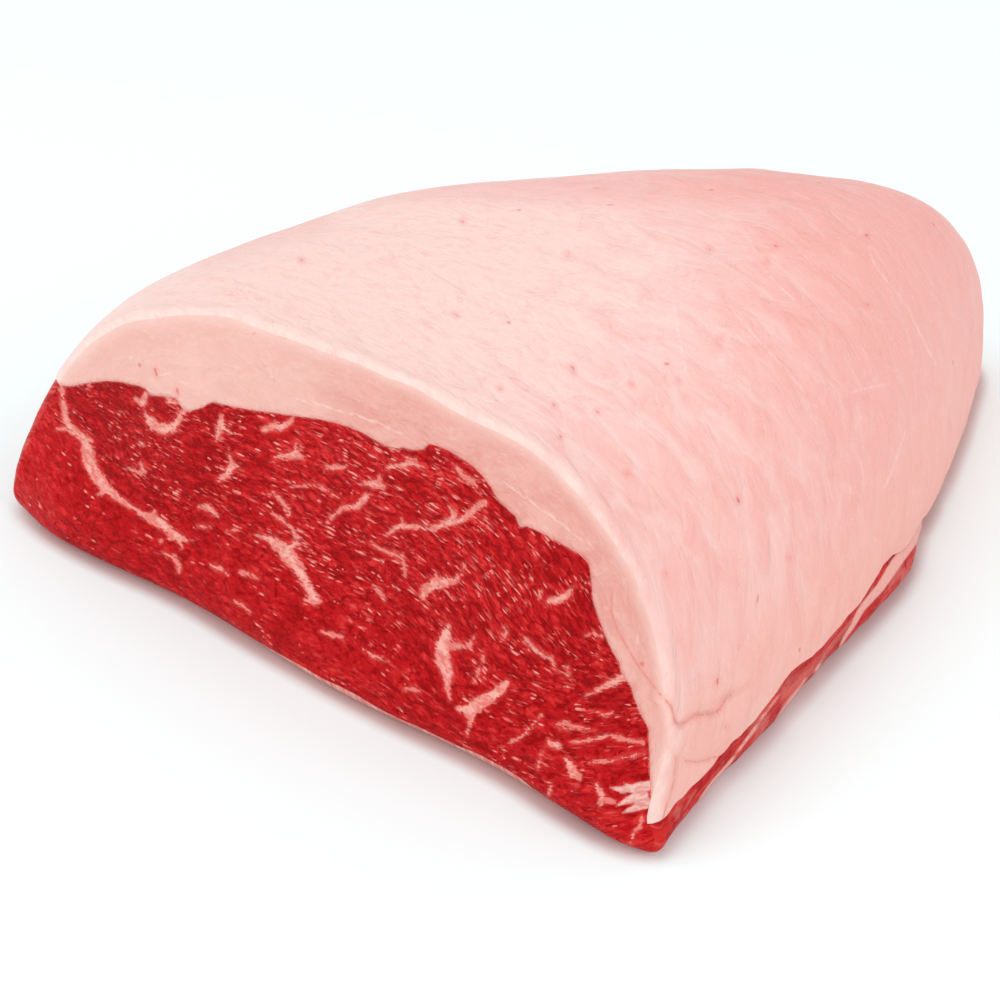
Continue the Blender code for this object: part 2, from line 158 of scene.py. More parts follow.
FOOT_REACH = 0.010  # how far behind the cut both reach
CORNER_FLARE = 0.0023  # how far the right end of the foot flares outwards
CORNER_FLARE_X, CORNER_FLARE_Z = (0.060, 0.088), (0.0085, 0.003)  # where the flare grows
CORNER_FLARE_REACH = 0.014
FLANK_BULGE = 0.0031  # how far the lean bulges out under the right lip
BULGE_GROWS, BULGE_FADES = (0.35, 0.53), (0.66, 0.53)  # stations
BULGE_FULLNESS = 0.7
SKIN_WRAPS = 0.0017  # how much further up the silverskin shows at the foot of the cut
SKIN_WRAPS_END = 0.06  # row
SKIN_WRAP_LUMPS = (0.4, 120, 31)  # share, turns by the metre and seed
SKIN_SPREAD_BACK = 0.25  # rows over which the silverskin gives out towards the tip
SKIN_SPREAD = 2.5  # how much faster it does so across
SKIN_MARGIN = 4  # columns of the floor beside it
SKIN_SIDE_ROWS = 8
CAP_COLUMNS = 420
FAT_ROWS, BAND_ROWS = 180, 26
LEAN_ROWS, FACE_ROWS = 90, 145
HIDDEN_ROWS, HIDDEN_COLUMNS = 5, 7  # how much coarser the mesh is where fat and lean meet out of sight
RIGHT_COLUMNS, LEFT_COLUMNS, FLOOR_COLUMNS = 26, 44, 60
RIM_ROWS = 6
FULL_ROWS = 3  # rows behind the cut that are not made coarser
LAST_ROWS = (0.997, 0.9993, 1.0)
WELD = 2e-6
FAR = 40.0  # pixels: a stroke this far off has no effect
MARKS_FACE, SPOTS_FACE = 0.08, 0.35  # how squarely a surface has to face the camera to be marked
PINK_BACK, PINK_BACK_SHARE = (30, 190), 0.9  # millimetres behind the cut over which the cap turns pink
PINK_RIGHT, PINK_RIGHT_SHARE = (-20, 95), 0.6  # the same in X
LOW = (0.045, 0.010)  # heights between which the fat's colour changes towards the floor
SHARP = radians(60)
BORDER_STEPS, RIM_POINTS = 300, 4000
FLANK_SHEET_START, UNDER_SHEET_START = 500, 900  # millimetres
FLANK_SHEET_SLANT = 0.4

# ---- colours, as screen values from 0 to 255 ----
LEAN_DARK, LEAN_RED, LEAN_BRIGHT = (152, 2, 8), (187, 18, 24), (217, 47, 47)
FLECK_DIM, FLECK_PALE = (229, 88, 84), (244, 158, 148)
SEAM_HAZE = (224, 84, 80)
SEAM_PINK, SEAM_PALE = (230, 124, 115), (247, 178, 166)
GRISTLE_PINK, GRISTLE_PALE = (228, 150, 142), (240, 190, 180)
STREAK_PALE = (238, 172, 162)
FLANK_DARK, FLANK_BRIGHT = (176, 18, 22), (206, 42, 40)
FLANK_FILM, FLANK_FIBRE = (224, 134, 124), (224, 112, 104)
FAT_CREAM, FAT_PINK = (250, 213, 206), (243, 176, 168)
FAT_FIBRE, FAT_BLOTCH = (254, 230, 223), (240, 176, 168)
FAT_LOW, FAT_BLUSHED = (243, 176, 162), (241, 163, 156)
# Painted highlights along the rim of the cut, a broad one and a narrow one at the edge:
FAT_RIM_HIGHLIGHT, FAT_EDGE_HIGHLIGHT = (250, 216, 207), (254, 228, 219)
BAND_DARK, BAND_PALE = (229, 157, 146), (238, 180, 169)
# The middle one of these is a painted highlight just under the rim of the cut.
BAND_LEFT, BAND_RIM_HIGHLIGHT, BAND_FOOT = (248, 206, 195), (249, 210, 200), (232, 132, 122)
VEIN, WRINKLE, PALE_LINE = (232, 140, 132), (255, 230, 223), (255, 236, 229)
# Painted shade beside the creases of the fat, and in them:
CREASE_SIDE_SHADE, CREASE_SHADE_LINE = (240, 156, 146), (222, 122, 112)
DOT, SPOT_SIDE, SPOT = (214, 92, 88), (240, 150, 144), (206, 74, 74)
FILM_PINK, FILM_PALE, FILM_RED = (216, 126, 116), (242, 186, 174), (198, 74, 70)

# ---- textures of the cut, by length along the grain and width in millimetres ----
FLECKS = (((4.2, 0.9), 0.48, 0.55), ((2.5, 0.65), 0.46, 0.65))  # size, reach within a cell, and share
CLUMP, BUNDLE, CLUMP_RELIEF = (2.6, 1.5), (6.5, 2.9), (3.2, 1.9)

# ---- stage ----
LIGHTS = (  # name, place, size and power
    ("key", (-0.30, -0.35, 1.15), 1.3, 3.4),
    ("front", (-0.15, -1.25, 0.55), 0.9, 1.6),
    ("side", (1.10, 0.10, 0.75), 0.9, 3.1),
    ("glint", (-0.50, -0.95, 0.42), 0.12, 0.5),
)
WORLD_BRIGHTNESS = 0.78
FLOOR_SIZE = 6
FLOOR_PALE, FLOOR_SHADED = (0.84, 0.92, 0.925, 1), (0.60, 0.48, 0.47, 1)  # linear
FLOOR_GLOW, FLOOR_GLOW_SHADED = (1, 1, 1, 1), (0.7, 0.5, 0.5, 1)
SHADE_REACH = 0.0052
SHADE_LEFT, SHADE_RIGHT = (-0.088, -0.068), (0.102, 0.078)  # where the shade beside the block fades, in X

# ---- marks in the picture, each stroke a line of (x, y, width) in pixels ----
MARBLING = (
    ((61, 386, 3), (64, 406, 4), (66, 420, 6), (72, 430, 7), (84, 438, 7), (87, 447, 10), (88, 460, 11),
     (94, 472, 12), (106, 488, 9), (118, 498, 6), (130, 506, 3.5), (142, 514, 4), (150, 518, 9),
     (160, 523, 10), (168, 529, 7), (176, 536, 8), (190, 541, 2)), ((84, 438, 5), (92, 441, 2)),
    ((56, 430, 1), (68, 428, 4)), ((98, 494, 2), (107, 490, 6)), ((150, 518, 5), (155, 511, 2)),
    ((178, 537, 6), (182, 547, 1.5)), ((160, 541, 1), (172, 538, 2.5), (178, 537, 4)),
    ((135, 399, 3), (143, 403, 6), (146, 393, 4)),
    ((146, 414, 4), (149, 421, 7), (155, 426, 10), (164, 429, 10), (172, 428, 9), (178, 420, 6),
     (184, 411, 5), (195, 405, 6)), ((150, 420, 7), (147, 413, 1.5)),
    ((167, 396, 3), (170, 402, 5), (178, 403, 3)),
    ((217, 440, 2.5), (219, 430, 6), (221, 424, 8), (222, 417, 2.5)), ((221, 427, 7), (228, 431, 3)),
    ((263, 430, 4), (274, 426, 7), (282, 427, 7), (291, 421, 4)),
    ((276, 457, 4), (284, 456, 5), (295, 454, 8), (302, 457, 2.5)), ((295, 452, 4), (296, 443, 1.5)),
    ((219, 480, 3), (227, 475, 7), (232, 466, 8), (238, 466, 3)), ((232, 464, 3), (229, 455, 1.5)),
    ((141, 464, 2), (144, 472, 3), (136, 472, 3), (128, 468, 1.5)),
    ((199, 507, 1.5), (208, 506, 4), (211, 511, 5), (218, 516, 1.5)),
    ((256, 535, 1.5), (264, 537, 3.5), (271, 540, 7), (282, 548, 13), (288, 555, 14), (295, 563, 12),
     (301, 574, 8.5), (307, 584, 7.5), (311, 593, 8), (315, 600, 10)),
    ((286, 549, 8), (295, 544, 5), (299, 539, 3.5), (297, 534, 1.5)), ((298, 543, 4), (305, 547, 1.5)),
    ((315, 601, 8), (306, 601, 4)), ((267, 496, 1.2), (278, 496, 2), (288, 508, 2), (290, 516, 1.2)),
    ((272, 513, 1.2), (280, 519, 2.5), (291, 527, 2.5), (296, 538, 3)),
    ((163, 553, 1.2), (173, 557, 3), (179, 565, 3.5), (179, 573, 1.2)),
    ((211, 565, 2), (219, 568, 4), (228, 575, 1.5)), ((240, 572, 1.2), (248, 574, 3), (257, 578, 1.2)),
    ((198, 526, 2), (209, 527, 3)), ((228, 530, 2), (237, 530, 2)), ((140, 443, 2.5), (143, 444, 2.5)),
    ((326, 467, 3), (337, 468, 4.5), (346, 467, 2)), ((365, 483, 3.5), (374, 484, 8), (384, 487, 3)),
    ((378, 484, 4), (380, 476, 2)),
    ((366, 497, 6), (356, 507, 5), (343, 507, 3), (333, 516, 3), (327, 523, 1.5)),
    ((389, 467, 4), (400, 466, 5), (408, 463, 5.5), (424, 467, 2)), ((406, 458, 1.5), (415, 460, 2)),
    ((386, 536, 1.5), (396, 528, 5), (402, 526, 5), (419, 527, 4), (429, 530, 4), (440, 526, 6),
     (451, 521, 8), (455, 514, 5), (449, 506, 1.5)), ((402, 525, 3), (401, 518, 1.2)),
    ((458, 522, 5), (469, 514, 6), (478, 506, 5), (485, 503, 6)),
    ((423, 597, 5), (425, 590, 8), (434, 585, 11), (442, 583, 9), (453, 581, 6), (461, 575, 3),
     (464, 565, 1.2)), ((436, 582, 4), (436, 574, 1.5)), ((443, 581, 4), (446, 576, 1.2)),
    ((374, 586, 2), (380, 593, 4), (384, 600, 2)), ((322, 632, 2), (333, 635, 4), (343, 637, 1.5)),
    ((363, 649, 1.5), (373, 656, 3), (388, 661, 1.5)),
    ((448, 624, 2), (446, 635, 11), (442, 647, 14), (443, 662, 14), (448, 674, 10), (447, 686, 4),
     (450, 700, 1.5)), ((450, 645, 4), (462, 647, 4), (469, 645, 5), (474, 637, 2)),
    ((459, 709, 5), (470, 710, 13), (485, 700, 12), (497, 693, 10), (507, 683, 6)),
    ((474, 712, 5), (469, 727, 3), (467, 735, 1.2)),
    ((525, 638, 2), (533, 648, 4), (541, 654, 3), (552, 659, 2.5), (555, 672, 1.2)),
    ((531, 646, 3), (528, 651, 1)), ((548, 602, 5), (557, 600, 8), (566, 596, 6), (573, 588, 2.5)),
    ((586, 695, 1.5), (597, 691, 4), (606, 686, 6), (613, 683, 7), (622, 678, 8), (632, 674, 9)),
    ((568, 667, 3), (568, 674, 3.5)), ((540, 592, 2.5), (540, 598, 2.5)), ((550, 743, 6), (557, 745, 7)),
    ((566, 758, 4), (570, 766, 7), (573, 773, 9), (579, 777, 4)),
    ((596, 784, 3), (602, 795, 6), (601, 804, 4)), ((602, 798, 4), (613, 802, 2.5)),
    ((556, 725, 2), (566, 723, 3), (574, 727, 2.5), (595, 731, 2)), ((560, 729, 1.5), (570, 730, 1)),
    ((573, 743, 1.5), (587, 740, 3), (599, 738, 4), (608, 736, 2.5), (623, 739, 3), (644, 743, 2)),
    ((590, 763, 1.5), (602, 761, 2.5), (613, 760, 2.5), (628, 757, 2), (644, 753, 2)),
    ((541, 716, 1.5), (531, 727, 2.5), (521, 737, 2.5), (510, 743, 1)), ((551, 786, 1.5), (548, 795, 1.5)),
    ((642, 815, 1.5), (640, 826, 2), (634, 833, 2), (631, 842, 3)),
    ((538, 768, 1), (540, 756, 1.5), (544, 749, 1)),
    ((456, 466, 3), (463, 476, 4), (473, 482, 4), (477, 487, 1.2)),
    ((290, 486, 1), (312, 485, 1.5), (324, 488, 1.5), (338, 498, 1)),
    ((273, 492, 1), (282, 503, 2), (289, 517, 1)),
    ((371, 543, 1), (385, 552, 2), (402, 556, 3), (406, 576, 1)),
    ((585, 635, 1.5), (592, 633, 2.5), (602, 636, 3)), ((504, 627, 1.5), (506, 633, 3), (503, 640, 1.5)),
    ((475, 682, 1), (480, 668, 2), (484, 655, 1.5)), ((598, 712, 1.5), (604, 716, 2.5), (612, 713, 1.5)),
    ((234, 601, 1), (243, 606, 2), (251, 613, 1)), ((404, 690, 1), (411, 688, 2), (419, 691, 1)),
)
GRISTLE = (
    ((610, 787, 1), (622, 790, 6), (636, 788, 9), (648, 786, 10)),
    ((616, 806, 1), (628, 800, 7), (642, 796, 13)), ((622, 813, 1), (634, 808, 7), (646, 803, 11)),
    ((624, 783, 1), (632, 787, 4)),
)
# The border between fat and lean in the cut from left to right, in pixels:
LEAN_BORDER = (
    (60, 385), (70, 386.5), (80, 384), (90, 382.5), (107, 380.5), (120, 381.5), (130, 383.5), (140, 386),
    (146, 389), (150, 395), (166, 396), (176, 398), (182, 408), (190, 411), (203, 407), (209, 403),
    (214, 402), (222, 404), (240, 408), (260, 411), (280, 413.5), (300, 416.5), (320, 419), (330, 421),
    (340, 424), (350, 427), (360, 431), (370, 437), (380, 443), (391, 449.5), (398, 450.5), (402, 447),
    (412, 450), (424, 449), (429, 443), (440, 446), (450, 450.5), (458, 456), (470, 463.5), (482, 474),
    (492, 488), (497, 499), (507, 508), (516, 516), (520, 527), (527, 526), (535, 529), (548, 536),
    (562, 544), (572, 550), (581, 554), (588, 560), (591, 569), (593, 600), (598, 615), (603, 629),
    (610, 646), (620, 663), (621, 671), (626, 680), (631, 685), (634, 697), (641, 714), (649, 729),
    (650, 768), (651, 795), (654, 812),
)
LEAN_OUTLINE = LEAN_BORDER + ((662, 823), (640, 900), (0, 600), (0, 385))  # and back below the lean
BORDER_STROKE = (tuple((x, y, 0) for x, y in LEAN_BORDER),)
# Places on the cut: (x, y) in pixels, how steeply the grain rises to the right there in degrees, the share
# of it that is flecked, and its tone from dark (-1) to bright (1):
# Where the tone is brightest, at the rounded left edge and the bottom right corner, it is partly painted
# light shining through the meat's thin edges; elsewhere it is the lean's own.
GRAIN = (
    (45, 440, -20, 0.15, 1.0), (35, 500, -10, 0.1, 0.7), (100, 410, -3, 0.5, -0.7),
    (130, 450, -3, 0.5, -0.5), (200, 450, -3, 0.45, -0.4), (80, 500, -3, 0.1, -0.3),
    (150, 560, -3, 0.15, -0.2), (240, 600, 0, 0.2, 0.0), (300, 440, 2, 0.6, 0.4), (300, 520, -2, 0.6, 0.0),
    (400, 470, 0, 1.0, 0.1), (400, 540, -3, 0.85, 0.1), (380, 620, -5, 0.4, -0.1),
    (330, 640, -3, 0.15, 0.1), (480, 500, -12, 0.9, 0.0), (470, 560, -14, 0.8, 0.1),
    (540, 540, -22, 0.9, -0.2), (520, 590, -36, 0.9, 0.0), (590, 600, -45, 0.6, -0.4),
    (560, 640, -36, 0.55, -0.1), (480, 650, -25, 0.45, 0.1), (450, 710, -10, 0.25, -0.2),
    (520, 740, 5, 0.35, -0.1), (540, 690, 5, 0.4, 0.0), (600, 700, 28, 0.3, -0.5), (620, 745, 35, 0.3, 0.0),
    (600, 790, 25, 0.25, 0.1), (645, 835, 30, 0.15, 1.0), (560, 780, 10, 0.3, 0.0),
)
GRAIN_REACH = 32  # pixels
FAT_PALE_LINES = (
    ((298, 399, 0.8), (328, 407, 1.2), (362, 417, 1.6), (393, 430, 1.6), (408, 437, 1.0)),
    ((427, 441, 0.6), (446, 453, 1.0), (470, 468, 0.8)), ((159, 375, 2), (166, 374, 3)),
    ((178, 380, 2), (186, 384, 3)),
    ((500, 478, 0.6), (520, 494, 1), (540, 508, 1), (556, 519, 1.2), (570, 531, 1), (590, 545, 0.6)),
    ((870, 249, 1), (873, 262, 1), (885, 279, 2), (898, 293, 2), (909, 310, 2), (917, 327, 2),
     (936, 365, 1)), ((767, 272, 1), (780, 286, 2), (795, 301, 1)),
    ((736, 315, 1), (760, 342, 2), (781, 364, 2), (805, 392, 1)),
    ((852, 392, 1), (868, 388, 2), (889, 384, 1)), ((673, 296, 1), (678, 330, 2), (686, 374, 1)),
    ((741, 226, 1), (755, 251, 1)), ((905, 432, 1), (896, 461, 2), (884, 489, 1)),
    ((470, 288, 1), (496, 292, 1.5), (522, 302, 2.5), (534, 314, 2), (544, 334, 2), (554, 356, 2.5),
     (565, 380, 1)), ((512, 340, 1), (530, 348, 1.5), (550, 360, 1)),
)
FAT_FOLD = (
    (660, 694, 1.0), (671, 706, 1.6), (675, 723, 1.6), (681, 725, 1.6), (694, 716, 1.4), (711, 714, 1.4),
    (719, 711, 1.2), (725, 699, 1.0), (733, 694, 0.8),
)
FAT_CREASES = (
    FAT_FOLD,
    ((612, 590, 1.0), (611, 612, 1.6), (617, 629, 1.6), (629, 651, 1.6), (641, 670, 1.4), (656, 689, 1.0)),
    ((686, 761, 0.8), (697, 762, 1.4), (706, 760, 1.4), (718, 756, 0.8)),
    ((662, 822, 1), (668, 800, 1.2), (674, 780, 1.0), (676, 756, 0.8)),
)
FAT_BLUSH = (
    ((370, 192, 6), (470, 184, 14), (560, 184, 24), (650, 186, 34), (720, 186, 24), (800, 180, 8)),
    ((905, 204, 8), (940, 232, 20), (962, 272, 24), (974, 330, 24), (974, 380, 10)),
    ((205, 256, 4), (260, 234, 8), (320, 220, 4)),
)
FAT_SPOTS = (  # from (x, y) to (x, y), and width
    (866, 235, 867, 236, 2.5), (709, 249, 710, 250, 2), (766, 262, 767, 262, 2),
    (775, 246, 776, 247, 1.5), (677, 380, 679, 382, 2.5), (831, 474, 832, 475, 2.5),
    (788, 557, 789, 558, 3), (737, 498, 739, 502, 2), (627, 473, 628, 474, 2.5), (717, 679, 717, 684, 2),
    (205, 262, 210, 264, 2), (284, 334, 285, 336, 2), (155, 369, 157, 376, 1.5),
    (177, 389, 178, 394, 1.5), (665, 572, 666, 575, 1.5), (486, 297, 487, 298, 1.5),
    (560, 436, 561, 437, 1.8), (725, 726, 726, 727, 2), (454, 314, 457, 316, 2),
    (566, 254, 570, 256, 2.5), (301, 260, 302, 261, 1.5), (462, 221, 463, 222, 1.5),
    (500, 388, 501, 389, 1.5), (553, 405, 554, 406, 1.5), (597, 411, 598, 412, 2),
    (805, 394, 806, 395, 1.5), (720, 337, 721, 338, 2), (867, 304, 868, 305, 1.5),
    (572, 366, 574, 372, 2), (630, 384, 633, 387, 1.5),
)
SPOT_STROKES = tuple(((x, y, width), (to_x, to_y, width)) for x, y, to_x, to_y, width in FAT_SPOTS)
FLANK_STREAKS = (
    ((699, 800, 1), (712, 782, 2), (731, 761, 2.5), (746, 740, 2), (767, 711, 1.5), (783, 690, 1)),
    ((690, 822, 1), (706, 803, 2), (722, 782, 2), (735, 766, 1)),
    ((723, 771, 1), (741, 748, 1.5), (757, 727, 1)),
    ((838, 650, 1), (845, 637, 3), (852, 627, 4), (862, 608, 6), (880, 588, 8), (896, 563, 10),
     (915, 538, 9), (928, 515, 9)), ((775, 722, 1), (788, 702, 2.5), (801, 686, 1.5), (808, 674, 1)),
    ((812, 676, 1), (820, 664, 2), (824, 652, 1)),
)


# ---- small maths ----
def smoothstep(low, high, value):
    share = np.clip((value - low) / (high - low), 0, 1)
    return share * share * (3 - 2 * share)


def along(values, station):
    """A smooth curve through one value at each of the five stations."""
    return np.polyval(np.polyfit(STATIONS, values, len(values) - 1), station)


def through(points, share):
    """A smooth curve through (share, value) points that may be unevenly spaced."""
    place, value = np.array(points).T
    slope = np.gradient(value, place)
    left = np.clip(np.searchsorted(place, share, side="right") - 1, 0, len(place) - 2)
    span = place[left + 1] - place[left]
    u = (share - place[left]) / span
    rise = smoothstep(0, 1, u)
    return (
        value[left] * (1 - rise) + value[left + 1] * rise
        + span * u * (1 - u) * (slope[left] * (1 - u) - slope[left + 1] * u)
    )


def unit(vectors):
    return vectors / np.maximum(np.linalg.norm(vectors, axis=-1, keepdims=True), 1e-12)


def lumps(u, v, seed):
    """Smooth random lumps from -1 to 1 over a plane, about one a unit."""
    table = np.random.default_rng(seed).uniform(-1, 1, (256, 256))
    i, j = np.floor(u).astype(int), np.floor(v).astype(int)
    a, b = smoothstep(0, 1, u - i), smoothstep(0, 1, v - j)
    near = table[i % 256, j % 256] * (1 - a) + table[(i + 1) % 256, j % 256] * a
    far = table[i % 256, (j + 1) % 256] * (1 - a) + table[(i + 1) % 256, (j + 1) % 256] * a
    return near * (1 - b) + far * b


# ---- the picture ----
def camera_axes():
    """Right, up and forward of the camera."""
    azimuth, elevation = CAMERA_AZIMUTH, CAMERA_ELEVATION
    right = np.array((cos(azimuth), sin(azimuth), 0))
    level = np.array((-sin(azimuth), cos(azimuth), 0))
    forward = level * cos(elevation) - np.array((0, 0, sin(elevation)))
    return right, np.cross(right, forward), forward


def in_picture(points):
    """Where points show in the picture, in pixels from its top left corner."""
    right, up, forward = camera_axes()
    away = points - np.array(CAMERA_PLACE)
    across = np.stack((away @ right, -(away @ up)), axis=-1)
    return PICTURE / 2 + FOCAL * across / (away @ forward)[..., None]


def seen(points, normals, least=MARKS_FACE):
    """Where points show in the picture, and which of them turn away from the camera too far for marks."""
    towards = unit(np.array(CAMERA_PLACE) - points)
    return in_picture(points), (towards * normals).sum(axis=-1) < least


def to_strokes(spots, strokes, hidden=None, signed=False):
    """Millimetres from each spot of the picture to the edge of the nearest stroke, negative inside it.

    Signed, it is the distance to the middle of the stroke instead, negative on one side of it.
    """
    nearest = np.full(spots.shape[:-1], FAR)
    side = np.ones(spots.shape[:-1])
    for stroke in strokes:
        stroke = np.array(stroke, float)
        for (*start, width), (*end, end_width) in zip(stroke[:-1], stroke[1:]):
            leg, away = np.array(end) - start, spots - start
            share = np.clip((away @ leg) / (leg @ leg), 0, 1)
            off = np.linalg.norm(away - share[..., None] * leg, axis=-1)
            off = off if signed else off - (width + (end_width - width) * share) / 2
            side = np.where(off < nearest, np.sign(leg[0] * away[..., 1] - leg[1] * away[..., 0]), side)
            nearest = np.minimum(nearest, off)
    if hidden is not None:
        nearest = np.where(hidden, FAR, nearest)
    return nearest * PIXEL * (side if signed else 1)


def inside(spots, outline):
    """Which spots of the picture lie inside an outline."""
    x, y = np.moveaxis(spots, -1, 0)
    within = np.zeros(x.shape, bool)
    for (x0, y0), (x1, y1) in zip(outline, outline[1:] + outline[:1]):
        if y0 != y1:
            within ^= ((y0 > y) != (y1 > y)) & (x < x0 + (x1 - x0) * (y - y0) / (y1 - y0))
    return within


# ---- the outer skin ----
def station_of(row):
    """Rows crowd towards the cut, where the detail is, and towards the tip, where the form closes."""
    return np.sin(row**ROW_CROWDING * pi / 2)


def plan(station):
    """Left edge, right edge and crest height of the section at a station."""
    close = np.sqrt(1 - station**PLAN_SQUARENESS)
    left = TIP_X + (along(LEFT_EDGE, station) - TIP_X) * close
    right = TIP_X + (along(RIGHT_EDGE, station) - TIP_X) * close
    return left, right, along(CREST_HEIGHT, station) * np.sqrt(1 - station**CREST_SQUARENESS)


def flank_powers(flank, station):
    (across, up), (tip_across, tip_up) = flank
    share = smoothstep(0, 1, station)
    return across + (tip_across - across) * share, up + (tip_up - up) * share


def skin(row, angle):
    """Points of the skin before its foot is rounded, for a column of rows and the angles in each."""
    station = station_of(row)
    left, right, height = plan(station)
    crest = left + (right - left) * np.interp(smoothstep(0, 1, station), (0, 1), CREST_SHARE)
    cosine, sine = np.cos(angle), np.abs(np.sin(angle))
    on_right = cosine >= 0
    right_powers, left_powers = (flank_powers(f, station) for f in (RIGHT_FLANK, LEFT_FLANK))
    across = np.where(on_right, right_powers[0], left_powers[0])
    up = np.where(on_right, right_powers[1], left_powers[1])
    reach = np.where(on_right, right - crest, left - crest)
    x = crest + reach * np.abs(cosine) ** (2 / across)
    z = height * sine ** (2 / up)
    y = station * LENGTH + z * tan(CUT_LEAN) * (1 - station) ** 2
    return np.stack(np.broadcast_arrays(x, y, z), axis=-1)


def angle_at(height, row, flank):
    """The angle from a foot at which the skin is that high."""
    station = station_of(row)
    crest = np.maximum(plan(station)[2], 1e-9)
    return np.arcsin(np.clip(height / crest, 0, 1) ** (flank_powers(flank, station)[1] / 2))


def skin_normals(row, angle):
    """Outward directions: in the cut's plane at the cut, then the skin's normals, then fanned at the tip."""
    step = SLOPE_STEP
    from_heart = unit(skin(row, angle) - np.array((TIP_X, LENGTH - TIP_RADIUS, 0)))
    fanned = smoothstep(*TIP_FANNED, station_of(row))[..., None]
    row = np.clip(row, 0, 1 - 2 * step)
    angle = np.clip(angle, step, pi - step)
    around = skin(row, angle + step) - skin(row, angle - step)
    back = skin(row + step, angle) - skin(np.maximum(row - step, 0), angle)
    cut_plane = np.array((0, np.cos(CUT_LEAN), -np.sin(CUT_LEAN)))
    in_plane = unit(np.cross(cut_plane, around))
    free = unit(np.cross(back, around))
    share = smoothstep(0, CUT_TURN, row)[..., None]
    normals = unit(in_plane * (1 - share) + free * share)
    return unit(normals * (1 - fanned) + from_heart * fanned)


def foot_normals(row, on_right):
    """Outward normals of the plan's outline, level, which point along X at the cut."""
    step = SLOPE_STEP
    low, high = np.clip(row - step, 0, 1), np.clip(row + step, 0, 1)
    ahead = (station_of(high) - station_of(low)) * LENGTH
    left, right = (plan(station_of(high))[side] - plan(station_of(low))[side] for side in (0, 1))
    share = smoothstep(0, FOOT_TURN, row)
    sign = np.where(on_right, 1, -1)
    sideways = np.where(on_right, right, left)
    normals = unit(np.stack(np.broadcast_arrays(sign * ahead, -sign * sideways, 0 * ahead), axis=-1))
    straight = np.stack(np.broadcast_arrays(sign, 0, 0 * ahead), axis=-1)
    return unit(normals * share[..., None] + straight * (1 - share[..., None]))


def tuck(height):
    """How far the round of the foot draws the skin in at a height."""
    below = np.clip(FOOT_RADIUS - height, 0, FOOT_RADIUS)
    return FOOT_RADIUS - np.sqrt(FOOT_RADIUS**2 - below**2)


# ---- rows and lips ----
Rows = namedtuple("Rows", "row inset")  # place from cut to tip, and inset round the cut's rim


def make_rows(count):
    """Rows round the rim of the cut, which lie on a quarter circle, and then evenly up to the tip."""
    turn = np.linspace(0, pi / 2, RIM_ROWS)
    station = RIM_RADIUS * (1 - np.cos(turn)) / LENGTH
    rim = np.stack(((np.arcsin(station) * 2 / pi) ** (1 / ROW_CROWDING), RIM_RADIUS * (1 - np.sin(turn))))
    rest = np.append(np.linspace(0, 1, count + 1)[:-1], LAST_ROWS)
    rest = rest[station_of(rest) * LENGTH > RIM_CLEARANCE * RIM_RADIUS]
    body = np.stack((rest, 0 * rest))
    return Rows(*(part[:, None] for part in np.concatenate((rim, body), axis=1)))


def lips(rows):
    """Heights of the right and the left lip at each row, 0 where the fat reaches the floor."""
    station = station_of(rows.row)
    wave = LIP_WAVE * sum(share * np.sin(turns * station + phase) for share, turns, phase in LIP_WAVES)
    share, turns, seed = LIP_LUMPS
    wave = wave + share * LIP_WAVE * lumps(turns * station, 0 * station, seed)
    right = RIGHT_LIP - RIGHT_LIP_DIP * (1 - smoothstep(0, RIGHT_LIP_RISE, station)) + wave
    right = right * (1 - smoothstep(*RIGHT_LIP_FALL, station))
    left = (along(LEFT_LIP, station) - wave) * (1 - smoothstep(*LEFT_LIP_FALL, station))
    return [np.where(height < LIP_LEAST, 0, height) for height in (right, left)]


def cap_angles(rows, drop, share):
    """Angles from lip to lip at each row, starting a little below the lips."""
    right_lips, left_lips = lips(rows)
    right = angle_at(np.maximum(right_lips - drop, 0), rows.row, RIGHT_FLANK)
    left = pi - angle_at(np.maximum(left_lips - drop, 0), rows.row, LEFT_FLANK)
    return right + (left - right) * share


def even_shares(columns):
    """Shares of the way from lip to lip that split the rim of the cut into equal lengths."""
    at_cut = Rows(*np.zeros((2, 1, 1)))
    fine = np.linspace(0, 1, RIM_POINTS)[None]
    rim = skin(at_cut.row, cap_angles(at_cut, 0, fine))[0]
    length = np.append(0, np.cumsum(np.linalg.norm(np.diff(rim, axis=0), axis=1)))
    return np.interp(np.linspace(0, length[-1], columns + 1), length, fine[0])[None]


def fat_in_cut(share):
    """Thickness of the fat in the cut at shares of the way from lip to lip, down to the lean."""
    at_cut = Rows(*np.zeros((2, 1, 1)))
    depth = np.linspace(*BORDER_DEPTHS, BORDER_STEPS)[:, None, None]
    angle = cap_angles(at_cut, 0, share)
    points = skin(at_cut.row, angle) - depth[..., None] * skin_normals(at_cut.row, angle)
    lean = inside(in_picture(placed(points)), LEAN_OUTLINE)
    first = depth[np.argmax(lean, axis=0), 0, 0]
    kernel = np.array((1, 2, 1)) / 4
    return np.convolve(np.pad(first[0], 1, mode="edge"), kernel, mode="valid")[None]


def fat_thickness(rows, share, height):
    """Thickness of the cap, which in the cut ends where the picture shows it to end."""
    station = station_of(rows.row)
    evened = smoothstep(TIP_FAT_FROM, 1, station)
    lip = FAT_PROFILE[0][1]
    middle = smoothstep(0, TIP_LIP_SHARE, share) * smoothstep(0, TIP_LIP_SHARE, 1 - share)
    at_tip = lip + (FAT_AT_TIP - lip) * np.maximum(middle, smoothstep(*TIP_FANNED, station))
    at_foot = lip + FOOT_RADIUS * (1 - smoothstep(0, FOOT_FAT_RISE * FOOT_RADIUS, height))
    even = through(FAT_PROFILE, share)
    in_cut = (fat_in_cut(share) - even) * np.exp(-station * LENGTH / BORDER_REACH)
    return np.maximum((even + in_cut) * (1 - evened) + at_tip * evened, at_foot)


